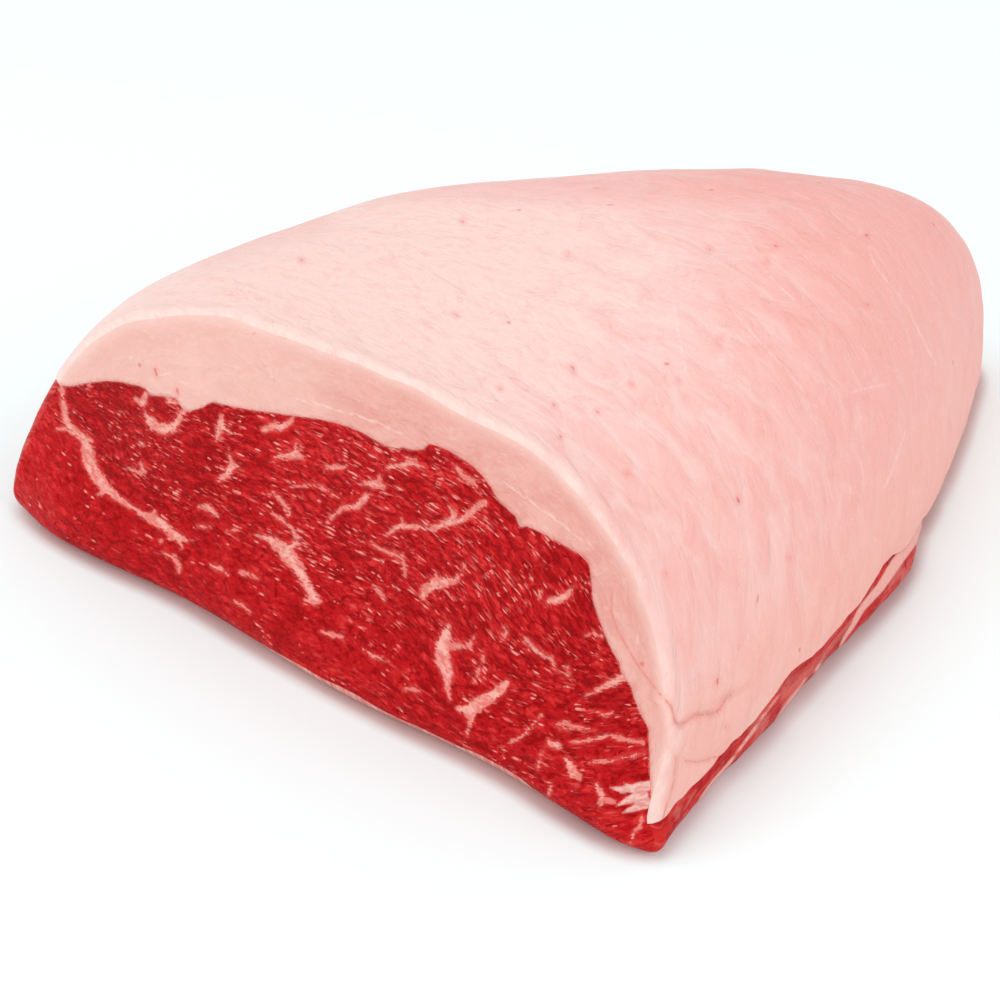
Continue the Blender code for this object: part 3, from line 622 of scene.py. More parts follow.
def inset(rows, angle, depth):
    """Points that lie a depth inside the skin and never under the floor."""
    points = skin(rows.row, angle) - depth[..., None] * skin_normals(rows.row, angle)
    points[..., 2] = np.maximum(points[..., 2], 0)
    return points


def tucked(rows, angle, depth):
    """The same, with the foot rounded."""
    base = skin(rows.row, angle)
    foot = foot_normals(rows.row, np.cos(angle) >= 0)
    return inset(rows, angle, depth) - tuck(base[..., 2])[..., None] * foot


def placed(points):
    """Points of the block moved to its middle, with the waves and the foot of the cut."""
    x, y, z = np.moveaxis(points, -1, 0)
    behind = y - z * tan(CUT_LEAN)
    wave = sum(share * np.sin(across * x + up * z + phase) for share, across, up, phase in CUT_WAVES)
    fade = (1 - smoothstep(0, CUT_SWELL_DEPTH, behind)) * smoothstep(0, CUT_SWELL_FROM_FLOOR, z)
    back = CUT_SWELL * wave * fade + foot_shape(x, z) * np.exp(-np.maximum(behind, 0) / FOOT_REACH)
    flare = CORNER_FLARE * smoothstep(*CORNER_FLARE_X, x) * smoothstep(*CORNER_FLARE_Z, z)
    out = flare * np.exp(-np.maximum(behind, 0) / CORNER_FLARE_REACH)
    return points + np.stack((out, back, 0 * x), axis=-1) - np.array((*CENTRE, 0))


def foot_shape(x, z):
    """How far the foot of the cut goes back: it swells forward, and then turns under."""
    below = np.clip(FOOT_TURNED - z, 0, FOOT_TURNED)
    under = FOOT_TURNED - np.sqrt(FOOT_TURNED**2 - below**2)
    share, turn, phase = FOOT_SWELL_WAVE
    swell = FOOT_SWELL * (1 + share * np.cos(turn * x + phase)) * smoothstep(*FOOT_SWELL_FROM, z)
    at_right = 1 - FOOT_SWELL_LOSS * smoothstep(*FOOT_SWELL_RIGHT, x)
    return under - swell * smoothstep(*FOOT_SWELL_LEFT, x) * at_right


# ---- meshes ----
Patch = namedtuple("Patch", "points values")  # a grid of points, and a grid of each attribute's values


def grid_faces(start, shape):
    """Corner numbers of the quads of a grid whose points are numbered row by row."""
    number = start + np.arange(shape[0] * shape[1]).reshape(shape)
    corners = (number[:-1, :-1], number[:-1, 1:], number[1:, 1:], number[1:, :-1])
    return np.stack([corner.ravel() for corner in corners], axis=-1)


def make_piece(name, patches, material, node):
    """One closed mesh welded from its patches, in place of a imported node."""
    points, faces = [], []
    for patch in patches:
        faces.append(grid_faces(sum(len(p) for p in points), patch.points.shape[:2]))
        points.append(patch.points.reshape(-1, 3))
    data = bpy.data.meshes.new(name)
    data.from_pydata(np.concatenate(points), [], np.concatenate(faces))
    corners = np.concatenate(faces).ravel()
    for key in patches[0].values:
        is_vector = patches[0].values[key].ndim == 3
        shape = (-1, 3) if is_vector else -1
        values = np.concatenate([patch.values[key].reshape(shape) for patch in patches])[corners]
        layer = data.attributes.new(key, "FLOAT_VECTOR" if is_vector else "FLOAT", "CORNER")
        layer.data.foreach_set("vector" if is_vector else "value", values.ravel().astype(np.float32))
    mesh = bmesh.new()
    mesh.from_mesh(data)
    bmesh.ops.remove_doubles(mesh, verts=mesh.verts, dist=WELD)
    bmesh.ops.recalc_face_normals(mesh, faces=mesh.faces)
    mesh.to_mesh(data)
    mesh.free()
    data.shade_smooth()
    data.set_sharp_from_angle(angle=SHARP)
    data.materials.append(material)
    piece = bpy.data.objects.new(name, data)
    bpy.context.scene.collection.objects.link(piece)
    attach(piece, "root")
    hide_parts(node)


def coarser(points):
    """A grid's points, drawn together in blocks but for its first rows and its edges."""
    rows, columns = (np.arange(count) for count in points.shape[:2])
    full = (rows < FULL_ROWS)[:, None]
    kept_rows = np.where(rows == rows[-1], rows, rows // HIDDEN_ROWS * HIDDEN_ROWS)
    kept_columns = np.where(columns == columns[-1], columns, columns // HIDDEN_COLUMNS * HIDDEN_COLUMNS)
    at_edge = (columns == 0) | (columns == columns[-1])
    row = np.where(at_edge | full, rows[:, None], kept_rows[:, None])
    column = np.where(full, columns, kept_columns)
    return points[row, column]


def bridge(first, second, steps):
    """A grid of points between two lines of points."""
    share = np.linspace(0, 1, steps + 1)[:, None, None]
    return first + (second - first) * share


# ---- fat cap ----
def bumps(points, table):
    """Lumps added up over points of the block."""
    x, y, z = np.moveaxis(points, -1, 0)
    return sum(
        height * lumps(across * (x + slant * z), back * (y + fall * z), seed)
        for height, across, slant, back, fall, seed in table
    )


def fat_relief(points, normals):
    """How far the swells, wrinkles and creases raise the fat."""
    x, y, z = np.moveaxis(points, -1, 0)
    raised = bumps(points, FAT_LUMPS)
    for centre_x, centre_y, radius, height in SWELLS + EASED:
        raised = raised + height * np.exp(-((x - centre_x) ** 2 + (y - centre_y) ** 2) / radius**2)
    at_rim = np.exp(-np.maximum(y - z * tan(CUT_LEAN), 0) / RIM_REACH)
    spots, hidden = seen(points - np.array((*CENTRE, 0)), normals)
    crease = np.maximum(to_strokes(spots, FAT_CREASES, hidden), 0)
    below = np.maximum(to_strokes(spots, (FAT_FOLD,), hidden, signed=True), 0)
    flap = FOLD_HEIGHT * np.exp(-((below / FOLD_REACH) ** 2)) * smoothstep(0, FOLD_STARTS, below)
    raised = raised + at_rim * bumps(points, RIM_LUMPS) + flap
    return raised - CREASE_DEPTH * np.exp(-((crease / CREASE_REACH) ** 2))


def behind_cut(points):
    """How far placed points lie behind the cut."""
    return points[..., 1] + CENTRE[1] - points[..., 2] * tan(CUT_LEAN)


def fat_values(points, normals, girth, under):
    """The fat's attributes at placed points: its weft runs round the block, as its fibres do."""
    spots, hidden = seen(points, normals)
    behind = behind_cut(points) * 1000
    on_band = under is not None
    under = under if on_band else 0 * behind
    pink_back = smoothstep(*PINK_BACK, behind)
    pink_right = smoothstep(*PINK_RIGHT, points[..., 0] * 1000)
    return {
        "weft": np.stack((girth + 0 * behind, -under if on_band else behind, 0 * behind), axis=-1),
        "band": on_band + 0 * behind,
        "under": under,
        "behind": behind,
        "pink": pink_back * PINK_BACK_SHARE + pink_right * PINK_RIGHT_SHARE,
        "low": smoothstep(*LOW, points[..., 2]),
        "blush": to_strokes(spots, FAT_BLUSH),
        "pale": to_strokes(spots, FAT_PALE_LINES, hidden),
        "pale_side": to_strokes(spots, FAT_PALE_LINES, hidden, signed=True),
        "crease": to_strokes(spots, FAT_CREASES, hidden),
        "crease_side": to_strokes(spots, FAT_CREASES, hidden, signed=True),
        "spot": to_strokes(spots, SPOT_STROKES, seen(points, normals, SPOTS_FACE)[1]),
        "border": to_strokes(spots, BORDER_STROKE, hidden | (not on_band)),
    }


def make_fat(material):
    rows = make_rows(FAT_ROWS)
    share = even_shares(CAP_COLUMNS)
    angle = cap_angles(rows, 0, share)
    base = skin(rows.row, angle)
    normals = skin_normals(rows.row, angle)
    outer = tucked(rows, angle, rows.inset - fat_relief(base, normals))
    outer[..., 2] = np.where(base[..., 2] > 0, outer[..., 2], 0)
    inner = inset(rows, angle, fat_thickness(rows, share, base[..., 2]))
    outer[-1], inner[-1] = outer[-1, 0], inner[-1, 0]
    band = bridge(outer[0], inner[0], BAND_ROWS)
    under = np.linalg.norm(band - band[:1], axis=-1) * 1000
    girth = np.cumsum(np.linalg.norm(np.diff(base, axis=1, prepend=base[:, :1]), axis=-1), axis=1) * 1000
    girth = girth - girth[:, CAP_COLUMNS // 2, None]
    patches = []
    for points, normal, around, depth in (
        (outer, normals, girth, None),
        (coarser(inner), -normals, girth, None),
        (band, OUT_OF_CUT, girth[0], under),
        (bridge(outer[:, 0], inner[:, 0], 1), DOWN, 0, None),
        (bridge(outer[:, -1], inner[:, -1], 1), DOWN, 0, None),
    ):
        points = placed(points)
        patches.append(Patch(points, fat_values(points, normal, around, depth)))
    make_piece("picanha_fat", patches, material, "fat_cap")


# ---- lean ----
def lean_flank(rows, lip_heights, side, columns, corner, fat_depth):
    """The lean's flank at each row, from under the lip to the floor, bumpy as the muscle is."""
    even = np.linspace(0, 1, columns)[None]
    height = np.maximum(lip_heights - GAP, 0) * (1 - np.sin(even * pi / 2))
    angle = angle_at(height, rows.row, RIGHT_FLANK if side > 0 else LEFT_FLANK)
    angle = angle if side > 0 else pi - angle
    station = station_of(rows.row)
    ragged = sum(
        share * lumps(turns * station, down * even, seed) for share, turns, down, seed in RAGGED_LUMPS
    )
    inwards = RAGGED * ragged * np.sin(pi * even) * smoothstep(0, RAGGED_FROM, station)
    if side > 0:
        bulge = smoothstep(*BULGE_GROWS, station) * smoothstep(*BULGE_FADES, station)
        inwards = inwards - FLANK_BULGE * bulge * np.sin(pi * even) ** BULGE_FULLNESS
    shown = tucked(rows, angle, LEAN_SHY + rows.inset + inwards)
    drawn_in = inset(rows, angle, fat_depth[:, None] + 0 * angle)
    last = (lip_heights > 0) & (np.roll(lip_heights, -1, axis=0) == 0)
    share = np.where(last, 1, 1 - smoothstep(*DRAWN_IN, lip_heights))[..., None]
    points = shown * (1 - share) + drawn_in * share
    return np.where((lip_heights > 0)[..., None], points, corner[:, None])


def skin_heights(row, x, share):
    """Thickness of the silverskin over its plan, feathered at its left, right and far edges."""
    sides, far = SKIN_FEATHER
    feather = smoothstep(0, sides, share) * smoothstep(0, sides, 1 - share)
    feather = feather * smoothstep(0, far, SKIN_END - row)
    shows = smoothstep(*SKIN_SHOWS_FROM, x) + smoothstep(*SKIN_SHOWS_BEHIND, row)
    first, second = (np.sin(turns * x + phase) for turns, phase in SKIN_WAVES)
    uneven, turns, seed = SKIN_WRAP_LUMPS
    uneven = 1 + uneven * lumps(turns * x, 0 * x, seed)
    wraps = SKIN_WRAPS * uneven * (1 - smoothstep(0, SKIN_WRAPS_END, row))
    full = SKIN_THICKNESS + SKIN_WAVE * first * second - SKIN_EDGE + wraps
    return SKIN_EDGE + full * feather * np.clip(shows, 0, 1)


def lifted(points, heights, rows):
    """Floor points lifted by their heights, at the cut along its slope."""
    at_cut = 1 - smoothstep(0, FLOOR_SLOPE_END, rows.row + 0 * heights)
    points = points.copy()
    points[..., 2] += heights
    points[..., 1] += heights * tan(CUT_LEAN) * at_cut
    return points


def grained(points):
    """Placed points of the lean with the coarse grain of the muscle raised on the cut."""
    x, _, z = np.moveaxis(points, -1, 0)
    fade = np.exp(-np.maximum(behind_cut(points), 0) / RIDGE_REACH) * smoothstep(*RIDGE_FROM_FLOOR, z)
    spots = in_picture(points)
    slope = grain_at(spots)[0]
    share, turns, seed = GRAIN_LUMPS
    height = share * lumps(turns * x, turns * z, seed)
    for number, centre in enumerate(RIDGE_SLOPES):
        weight = np.clip(1 - np.abs(slope - centre) / RIDGE_STEP, 0, 1)
        along_grain, across = turned(1000 * x, 1000 * z, centre)
        for share, length, width, seed in RIDGES:
            ridge = lumps(along_grain / length, across / width, number + seed)
            height = height + weight * share * ridge
    off_seams = smoothstep(*RIDGE_OFF_SEAMS, to_strokes(spots, MARBLING + GRISTLE))
    return points + np.stack((0 * x, -RIDGE_HEIGHT * height * off_seams * fade, 0 * x), axis=-1)


def turned(x, z, degrees):
    """Coordinates along and across a direction at that angle to the floor in the cut."""
    c, s = cos(radians(degrees)), sin(radians(degrees))
    return c * x + s * z, c * z - s * x


def grain_at(spots):
    """Slope of the grain in degrees, share of flecks and tone at spots of the picture."""
    x, y = np.moveaxis(spots, -1, 0)
    off = [(x - px) ** 2 + (y - py) ** 2 for px, py, *_ in GRAIN]
    weights = [np.exp(-square / (2 * GRAIN_REACH**2)) + 1e-6 for square in off]
    total = sum(weights)
    return [sum(w * mark[k] for w, mark in zip(weights, GRAIN)) / total for k in (2, 3, 4)]


def sheet_of(points, kind):
    """Millimetres along and across the muscle, from a start of its own on each of its sides."""
    x, y, z = np.moveaxis(points * 1000, -1, 0)
    sheets = {
        "cut": (x, z / cos(CUT_LEAN)),
        "flank": (y + FLANK_SHEET_START, z + FLANK_SHEET_SLANT * np.abs(x)),
        "top": (y, x),
        "under": (y + UNDER_SHEET_START, x),
    }
    return np.stack((*sheets[kind], 0 * x), axis=-1)


def lean_values(points, normals, kind):
    """The lean's attributes at placed points of the cut, a flank, its top or the underside."""
    spots, hidden = seen(points, normals)
    on_cut = kind == "cut"
    slope, flecked, tone = grain_at(spots)
    return {
        "grain": sheet_of(points, kind),
        "cut": on_cut + 0 * slope,
        "turn": np.radians(slope) * on_cut,
        "flecked": flecked * on_cut,
        "tone": tone * on_cut,
        "marble": to_strokes(spots, MARBLING if on_cut else FLANK_STREAKS, hidden),
        "gristle": to_strokes(spots, GRISTLE, hidden | (not on_cut)),
        "border": to_strokes(spots, BORDER_STROKE, hidden | (not on_cut)),
    }


def make_lean_and_silverskin(lean_material, skin_material):
    """The lean has a shallow hollow in its underside, which the silverskin fills."""
    rows = make_rows(LEAN_ROWS)
    share = even_shares(CAP_COLUMNS)
    right_lips, left_lips = lips(rows)
    angle = cap_angles(rows, GAP, share)
    depth = fat_thickness(rows, share, skin(rows.row, angle)[..., 2]) + GAP
    top = inset(rows, angle, depth)
    top[-1] = top[-1, 0]
    right = lean_flank(rows, right_lips, 1, RIGHT_COLUMNS, top[:, 0], depth[:, 0])
    left = lean_flank(rows, left_lips, -1, LEFT_COLUMNS, top[:, -1], depth[:, -1])
    across = np.linspace(0, 1, FLOOR_COLUMNS + 1)[None, :, None]
    floor = right[:, -1:] * (1 - across) + left[:, -1:] * across

    skin_rows = Rows(*(part[rows.row[:, 0] <= SKIN_END] for part in rows))
    covered = (slice(len(skin_rows.row)), slice(SKIN_MARGIN, FLOOR_COLUMNS + 1 - SKIN_MARGIN))
    patch = floor[covered]
    skin_share = np.linspace(0, 1, patch.shape[1])[None]
    thickness = skin_heights(skin_rows.row, patch[..., 0], skin_share)
    underside = floor.copy()
    underside[covered] = lifted(patch, thickness + GAP, skin_rows)
    make_lean(rows, angle, top, right, left, underside, lean_material)
    make_silverskin(skin_rows, skin_share, lifted(patch, thickness, skin_rows), patch, skin_material)


def make_lean(rows, angle, top, right, left, underside, material):
    rim = np.concatenate((right[0, ::-1], top[0], left[0]))
    edge = underside[0, ::-1]
    foot = np.stack([np.interp(rim[:, 0], edge[:, 0], edge[:, axis]) for axis in range(3)], axis=-1)
    patches = []
    for points, normals, kind in (
        (coarser(top), skin_normals(rows.row, angle), "top"),
        (np.concatenate((top[:, :1], right), axis=1), np.array((1, 0, 0)), "flank"),
        (np.concatenate((top[:, -1:], left), axis=1), np.array((-1, 0, 0)), "flank"),
        (underside, DOWN, "under"),
        (bridge(foot, rim, FACE_ROWS), OUT_OF_CUT, "cut"),
    ):
        points = grained(placed(points))
        patches.append(Patch(points, lean_values(points, normals, kind)))
    make_piece("picanha_lean", patches, material, "lean")


def make_silverskin(rows, share, upper, lower, material):
    spread = np.minimum(np.minimum(share, 1 - share) * SKIN_SPREAD, SKIN_END - rows.row) / SKIN_SPREAD_BACK
    sheets = [(upper, spread), (lower, spread)]
    for edge in ((0, slice(None)), (-1, slice(None)), (slice(None), 0), (slice(None), -1)):
        sides = bridge(upper[edge], lower[edge], SKIN_SIDE_ROWS)
        sheets.append((sides, spread[edge] + np.zeros((SKIN_SIDE_ROWS + 1, 1))))
    patches = []
    for points, over in sheets:
        points = placed(points)
        values = {"grain": sheet_of(points, "under"), "over": over, "across": points[..., 0] * 1000}
        patches.append(Patch(points, values))
    make_piece("picanha_silverskin", patches, material, "silverskin")


# ---- materials ----
class Shader:
    """A material's nodes. Each call adds one node or a few, and returns an output."""

    def __init__(self, name):
        self.material = bpy.data.materials.new(name)
        self.material.use_nodes = True
        self.tree = self.material.node_tree
        self.shader = self.tree.nodes["Principled BSDF"]

    def node(self, kind, inputs, output=0, **settings):
        node = self.tree.nodes.new("ShaderNode" + kind)
        for key, value in settings.items():
            setattr(node, key, value)
        for key, value in inputs.items():
            self.put(node.inputs[key], value)
        return node.outputs[output]

    def put(self, socket, value):
        if isinstance(value, bpy.types.NodeSocket):
            self.tree.links.new(value, socket)
        else:
            socket.default_value = value

    def attribute(self, name, vector=False):
        return self.node("Attribute", {}, "Vector" if vector else "Fac", attribute_name=name)

    def maths(self, operation, *values):
        return self.node("Math", dict(enumerate(values)), operation=operation)

    def vector(self, operation, *values):
        return self.node("VectorMath", dict(enumerate(values)), operation=operation)

    def total(self, *terms):
        """The sum of terms, each a value or a pair of a value and its factor."""
        first, *others = (self.scaled(*term) if isinstance(term, tuple) else term for term in terms)
        for term in others:
            first = self.maths("ADD", first, term)
        return first

    def scaled(self, value, factor):
        return self.maths("MULTIPLY", value, factor)

    def about_zero(self, noise, factor=1.0):
        """Noise shifted to vary about zero, times a factor."""
        return self.scaled(self.total(noise, -0.5), factor)

    def stretched(self, vector, size):
        """Coordinates in millimetres, divided by the length and the width of what they place."""
        return self.vector("MULTIPLY", vector, (1 / size[0], 1 / size[1], 0))

    def noise(self, vector, size, detail=3.0, roughness=0.6, distortion=0.0, output="Fac"):
        inputs = {
            "Vector": self.stretched(vector, size), "Scale": 1.0, "Detail": detail, "Roughness": roughness,
            "Distortion": distortion,
        }
        return self.node("TexNoise", inputs, output, noise_dimensions="2D")

    def cells(self, vector, size, **settings):
        """Distance to the middle of the nearest cell."""
        inputs = {"Vector": self.stretched(vector, size), "Scale": 1.0}
        return self.node("TexVoronoi", inputs, "Distance", voronoi_dimensions="2D", **settings)

    def gaps(self, vector, size):
        """Distance to the nearest border between cells."""
        return self.cells(vector, size, feature="DISTANCE_TO_EDGE")

    def chance(self, distance, output="Red"):
        """A random number of the cell that a distance was measured in."""
        return self.node("SeparateColor", {"Color": distance.node.outputs["Color"]}, output)

    def thread(self, noise, width):
        """A thin winding line wherever noise passes its middle value."""
        return self.ramp(self.maths("ABSOLUTE", self.total(noise, -0.5)), width, 0.0)

    def line(self, name, width, reach):
        """A thin line along strokes whose distances are kept with and without their side."""
        middle = self.ramp(self.maths("ABSOLUTE", self.attribute(name + "_side")), width, width * 0.2)
        return self.scaled(middle, self.ramp(self.attribute(name), reach, reach * 0.4))

    def ramp(self, value, low, high, start=0.0, end=1.0):
        inputs = {"Value": value, "From Min": low, "From Max": high, "To Min": start, "To Max": end}
        return self.node("MapRange", inputs, interpolation_type="SMOOTHSTEP")

    def mix(self, share, first, second):
        """Colours mixed by a share."""
        node = self.tree.nodes.new("ShaderNodeMix")
        node.data_type = "RGBA"
        for socket, value in ((node.inputs[0], share), (node.inputs[6], first), (node.inputs[7], second)):
            self.put(socket, value)
        return node.outputs[2]

    def between(self, value, limits, first, second):
        """A colour that turns into another as a value goes from limit to limit."""
        return self.mix(self.ramp(value, *limits), colour(first), colour(second))

    def tinted(self, tone, *tints):
        """A tone under more colours, each growing to its share as its value goes from limit to limit."""
        for value, limits, share, shade in tints:
            tone = self.mix(self.ramp(value, *limits, 0.0, share), tone, colour(shade))
        return tone

    def bump(self, height, distance):
        return self.node("Bump", {"Height": height, "Distance": distance})

    def finish(self, **inputs):
        for name, value in inputs.items():
            self.put(self.shader.inputs[name.replace("_", " ")], value)
        return self.material


def colour(screen):
    """A linear colour from its screen values."""
    screen = np.array(screen) / 255
    linear = np.where(screen <= 0.04045, screen / 12.92, ((screen + 0.055) / 1.055) ** 2.4)
    return (*(float(v) for v in linear), 1.0)


def turned_grain(s, sheet, broad):
    """Coordinates along and across the grain of the cut, which turns in steps."""
    steps = s.total((s.attribute("turn"), 1 / GRAIN_STEP), (broad, 1.6), -0.8)
    angle = s.scaled(s.maths("ROUND", steps), -GRAIN_STEP)
    return s.node("VectorRotate", {"Vector": sheet, "Angle": angle}, rotation_type="Z_AXIS")


def bent_grain(s, grain):
    """The same, bent at random by about half a millimetre at most."""
    random = s.noise(grain, (1.9, 1.5), detail=2.0, roughness=0.5, output="Color")
    return s.vector("MULTIPLY_ADD", s.vector("SUBTRACT", random, (0.5, 0.5, 0.5)), (1.1, 0.9, 0.0), grain)


def clumps_with_painted_shade(s, bent, broad, fibre, gap, relief):
    """Painted shading of the clumps of fibres, as if lit from above, and painted shade in the gaps and
    cracks between them.
    """
    # Painted light: the relief less the same relief shifted up, so upper slopes are lighter and lower ones
    # darker.
    above = s.vector("ADD", bent, (0.15, 0.5, 0.0))
    lit = s.total(relief, (s.noise(above, CLUMP_RELIEF, detail=2.0, roughness=0.45), -1.0))
    # Painted shade in the cracks between bundles.
    crack_shade = s.scaled(s.ramp(s.gaps(bent, BUNDLE), 0.10, 0.0), s.ramp(broad, 0.40, 0.58))
    shade = s.chance(s.cells(bent, CLUMP))
    # Painted shade in the gaps between clumps.
    dark = s.ramp(gap, 0.0, 0.3, -0.18, 0.0)
    grain_and_painted_shade = s.total((fibre, 0.9), (lit, 2.2), (shade, 0.3), dark, (crack_shade, -0.5), -0.55)
    return s.scaled(grain_and_painted_shade, s.ramp(s.attribute("flecked"), 0.0, 0.5, 0.55, 1.0))


def small_flecks(s, sheet, grain, fibre):
    """How fat each spot of the cut is for its small flecks, which lie in clusters along the grain."""
    cluster = s.ramp(s.noise(sheet, (8.0, 4.2), detail=2.0, roughness=0.5), 0.40, 0.60, 0.05, 1.0)
    share = s.scaled(cluster, s.total((s.attribute("flecked"), 0.8), 0.02))
    streak = s.noise(grain, (3.4, 0.5), detail=2.0, roughness=0.5, distortion=0.3)
    flecks = s.scaled(s.ramp(streak, 0.60, 0.74, 0.0, 0.8), s.ramp(share, 0.0, 0.4))
    for size, reach, amount in FLECKS:
        distance = s.cells(grain, size)
        rough = s.total(distance, (fibre, 0.7), -0.35)
        drawn = s.maths("LESS_THAN", s.chance(distance), s.scaled(share, amount))
        fleck = s.scaled(s.ramp(rough, reach, reach * 0.2), drawn)
        glow = s.ramp(s.chance(distance, "Green"), 0.0, 1.0, 0.2, 1.0)
        flecks = s.maths("MAXIMUM", flecks, s.scaled(fleck, glow))
    return flecks


def seamed(s, red, on_cut, fibre, mottle):
    """The red of the cut with its seams of fat, a thin seam along the cap, and gristle."""
    near = s.total(s.attribute("marble"), s.about_zero(fibre, 2.2), s.about_zero(mottle, 1.8))
    red = s.mix(s.scaled(s.ramp(near, 0.9, 0.0, 0.0, 0.45), on_cut), red, colour(SEAM_HAZE))
    fatty = s.total((mottle, 0.6), (fibre, 0.4))
    seam = s.between(fatty, (0.40, 0.60), SEAM_PINK, SEAM_PALE)
    border = s.total(s.attribute("border"), (fibre, 1.2), -0.6)
    red = s.mix(s.ramp(border, 0.45, -0.05, 0.0, 0.65), red, seam)
    cut = s.mix(s.ramp(near, 0.22, -0.25), red, seam)
    ragged = s.total(s.attribute("gristle"), s.about_zero(fibre))
    gristle = s.between(fatty, (0.42, 0.58), GRISTLE_PINK, GRISTLE_PALE)
    return s.mix(s.ramp(ragged, 0.3, -0.3), cut, gristle)


def make_lean_material():
    s = Shader("lean")
    sheet = s.attribute("grain", vector=True)
    on_cut = s.attribute("cut")
    broad = s.noise(sheet, (7.0, 5.0))
    grain = turned_grain(s, sheet, broad)
    bent = bent_grain(s, grain)
    fibre = s.noise(grain, (1.7, 0.42))
    mottle = s.noise(grain, (3.0, 1.7), distortion=0.4)
    relief = s.noise(bent, CLUMP_RELIEF, detail=2.0, roughness=0.45)
    gap = s.gaps(bent, CLUMP)
    # Painted shading of the clumps and their gaps, added into the lean's tone.
    grain_and_painted_shade = clumps_with_painted_shade(s, bent, broad, fibre, gap, relief)
    light = s.total((s.attribute("tone"), 0.3), (mottle, 0.9), (broad, 1.0), grain_and_painted_shade, -0.48)
    flecks = small_flecks(s, sheet, grain, fibre)
    red = s.tinted(
        s.between(light, (0.0, 0.5), LEAN_DARK, LEAN_RED),
        (light, (0.5, 1.05), 1.0, LEAN_BRIGHT),
        (flecks, (0.0, 0.5), 0.7, FLECK_DIM),
        (flecks, (0.45, 1.05), 1.0, FLECK_PALE),
    )
    outside = s.tinted(outer_muscle(s, sheet), (s.attribute("marble"), (0.3, -0.2), 1.0, STREAK_PALE))
    height = s.total(s.ramp(gap, 0.0, 0.4, 0.0, 0.2), (fibre, 0.3), (flecks, 0.25), relief)
    return s.finish(
        Base_Color=s.mix(on_cut, outside, seamed(s, red, on_cut, fibre, mottle)),
        Roughness=s.ramp(fibre, 0.3, 0.7, 0.22, 0.38),
        Normal=s.bump(height, 0.0005),
        Specular_IOR_Level=0.05,
    )


def outer_muscle(s, sheet):
    """Colour of the muscle where it isn't cut: red under fine pale fibres and patches of thin film."""
    clumps = s.noise(sheet, (9.0, 2.6), distortion=0.4)
    fibres = s.noise(sheet, (15.0, 0.9), distortion=0.4)
    patches = s.noise(sheet, (26.0, 9.0), detail=4.0, distortion=0.6)
    return s.tinted(
        s.between(clumps, (0.35, 0.65), FLANK_DARK, FLANK_BRIGHT),
        (patches, (0.5, 0.66), 0.4, FLANK_FILM),
        (fibres, (0.52, 0.72), 0.6, FLANK_FIBRE),
    )


def outer_fat(s, weft, mottle, fibre, fine, blotch):
    """Colour of the cap: cream at the left of the cut, pinker to the right and the tip, with a painted
    highlight at the rim.
    """
    behind = s.attribute("behind")
    pink = s.total(s.ramp(s.attribute("pink"), 0.0, 1.0), (mottle, 0.9), -0.45)
    blush = s.total(s.attribute("blush"), (mottle, 5.0), -2.5)
    uneven = s.noise(weft, (19.0, 60.0), detail=2.0, roughness=0.5)
    # Painted highlights along the rim of the cut: a broad soft one, and a narrow line at the very edge.
    rim = s.total(behind, (uneven, 16.0), (mottle, 8.0), (blotch, 5.0), -14.5)
    lip = s.total(behind, (fine, 2.4), (blotch, 6.0), -3.6)
    return s.tinted(
        s.between(pink, (0.0, 1.0), FAT_CREAM, FAT_PINK),
        (fibre, (0.5, 0.75), 0.12, FAT_FIBRE),
        (blotch, (0.45, 0.75), 0.28, FAT_BLOTCH),
        (s.attribute("low"), (0.0, 1.0), 0.55, FAT_LOW),
        (blush, (5.0, -2.5), 0.42, FAT_BLUSHED),
        (rim, (7.0, -1.0), 0.4, FAT_RIM_HIGHLIGHT),
        (lip, (2.2, -0.6), 0.42, FAT_EDGE_HIGHLIGHT),
    )


def cut_fat(s, mottle, fine):
    """Colour of the fat in the cut: pink, paler at the left, with a painted highlight under the rim, and
    redder along the lean.
    """
    # A painted highlight on the band just under the rim, fading downwards.
    under = s.total(s.attribute("under"), (mottle, 4.0), (fine, 2.0), -3.0)
    edge = s.total(s.attribute("border"), (fine, 1.4), -0.7)
    return s.tinted(
        s.between(s.total(mottle, (fine, 0.4)), (0.45, 0.95), BAND_DARK, BAND_PALE),
        (s.attribute("pink"), (0.15, 0.0), 0.45, BAND_LEFT),
        (under, (2.8, -1.0), 0.8, BAND_RIM_HIGHLIGHT),
        (edge, (0.9, 0.0), 0.55, BAND_FOOT),
    )


def veined_fat(s, weft, mottle, tone):
    veins = s.noise(weft, (15.0, 5.0), detail=2.0, roughness=0.5, distortion=1.2)
    vein = s.scaled(s.thread(veins, 0.010), s.ramp(mottle, 0.45, 0.65, 0.0, 0.4))
    return s.mix(vein, tone, colour(VEIN))


def marked_fat(s, weft, fine, tone):
    """The lines and spots of the picture over a tone, with painted shade along the creases, and small dots
    at random.
    """
    pale = s.scaled(s.line("pale", 0.5, 0.9), s.ramp(fine, 0.35, 0.65, 0.0, 0.32))
    tone = s.mix(pale, tone, colour(PALE_LINE))
    # Painted shade beside and in the creases.
    tone = s.tinted(tone, (s.attribute("crease"), (1.2, 0.0), 0.3, CREASE_SIDE_SHADE))
    crease = s.scaled(s.line("crease", 0.45, 0.8), s.ramp(fine, 0.3, 0.65, 0.1, 0.6))
    tone = s.mix(crease, tone, colour(CREASE_SHADE_LINE))
    distance = s.cells(weft, (13.0, 13.0))
    dot = s.scaled(s.ramp(distance, 0.055, 0.02), s.maths("LESS_THAN", s.chance(distance), 0.10))
    tone = s.mix(s.scaled(dot, 0.55), tone, colour(DOT))
    spot = s.attribute("spot")
    return s.tinted(tone, (spot, (1.4, 0.0), 0.35, SPOT_SIDE), (spot, (0.3, -0.15), 0.65, SPOT))


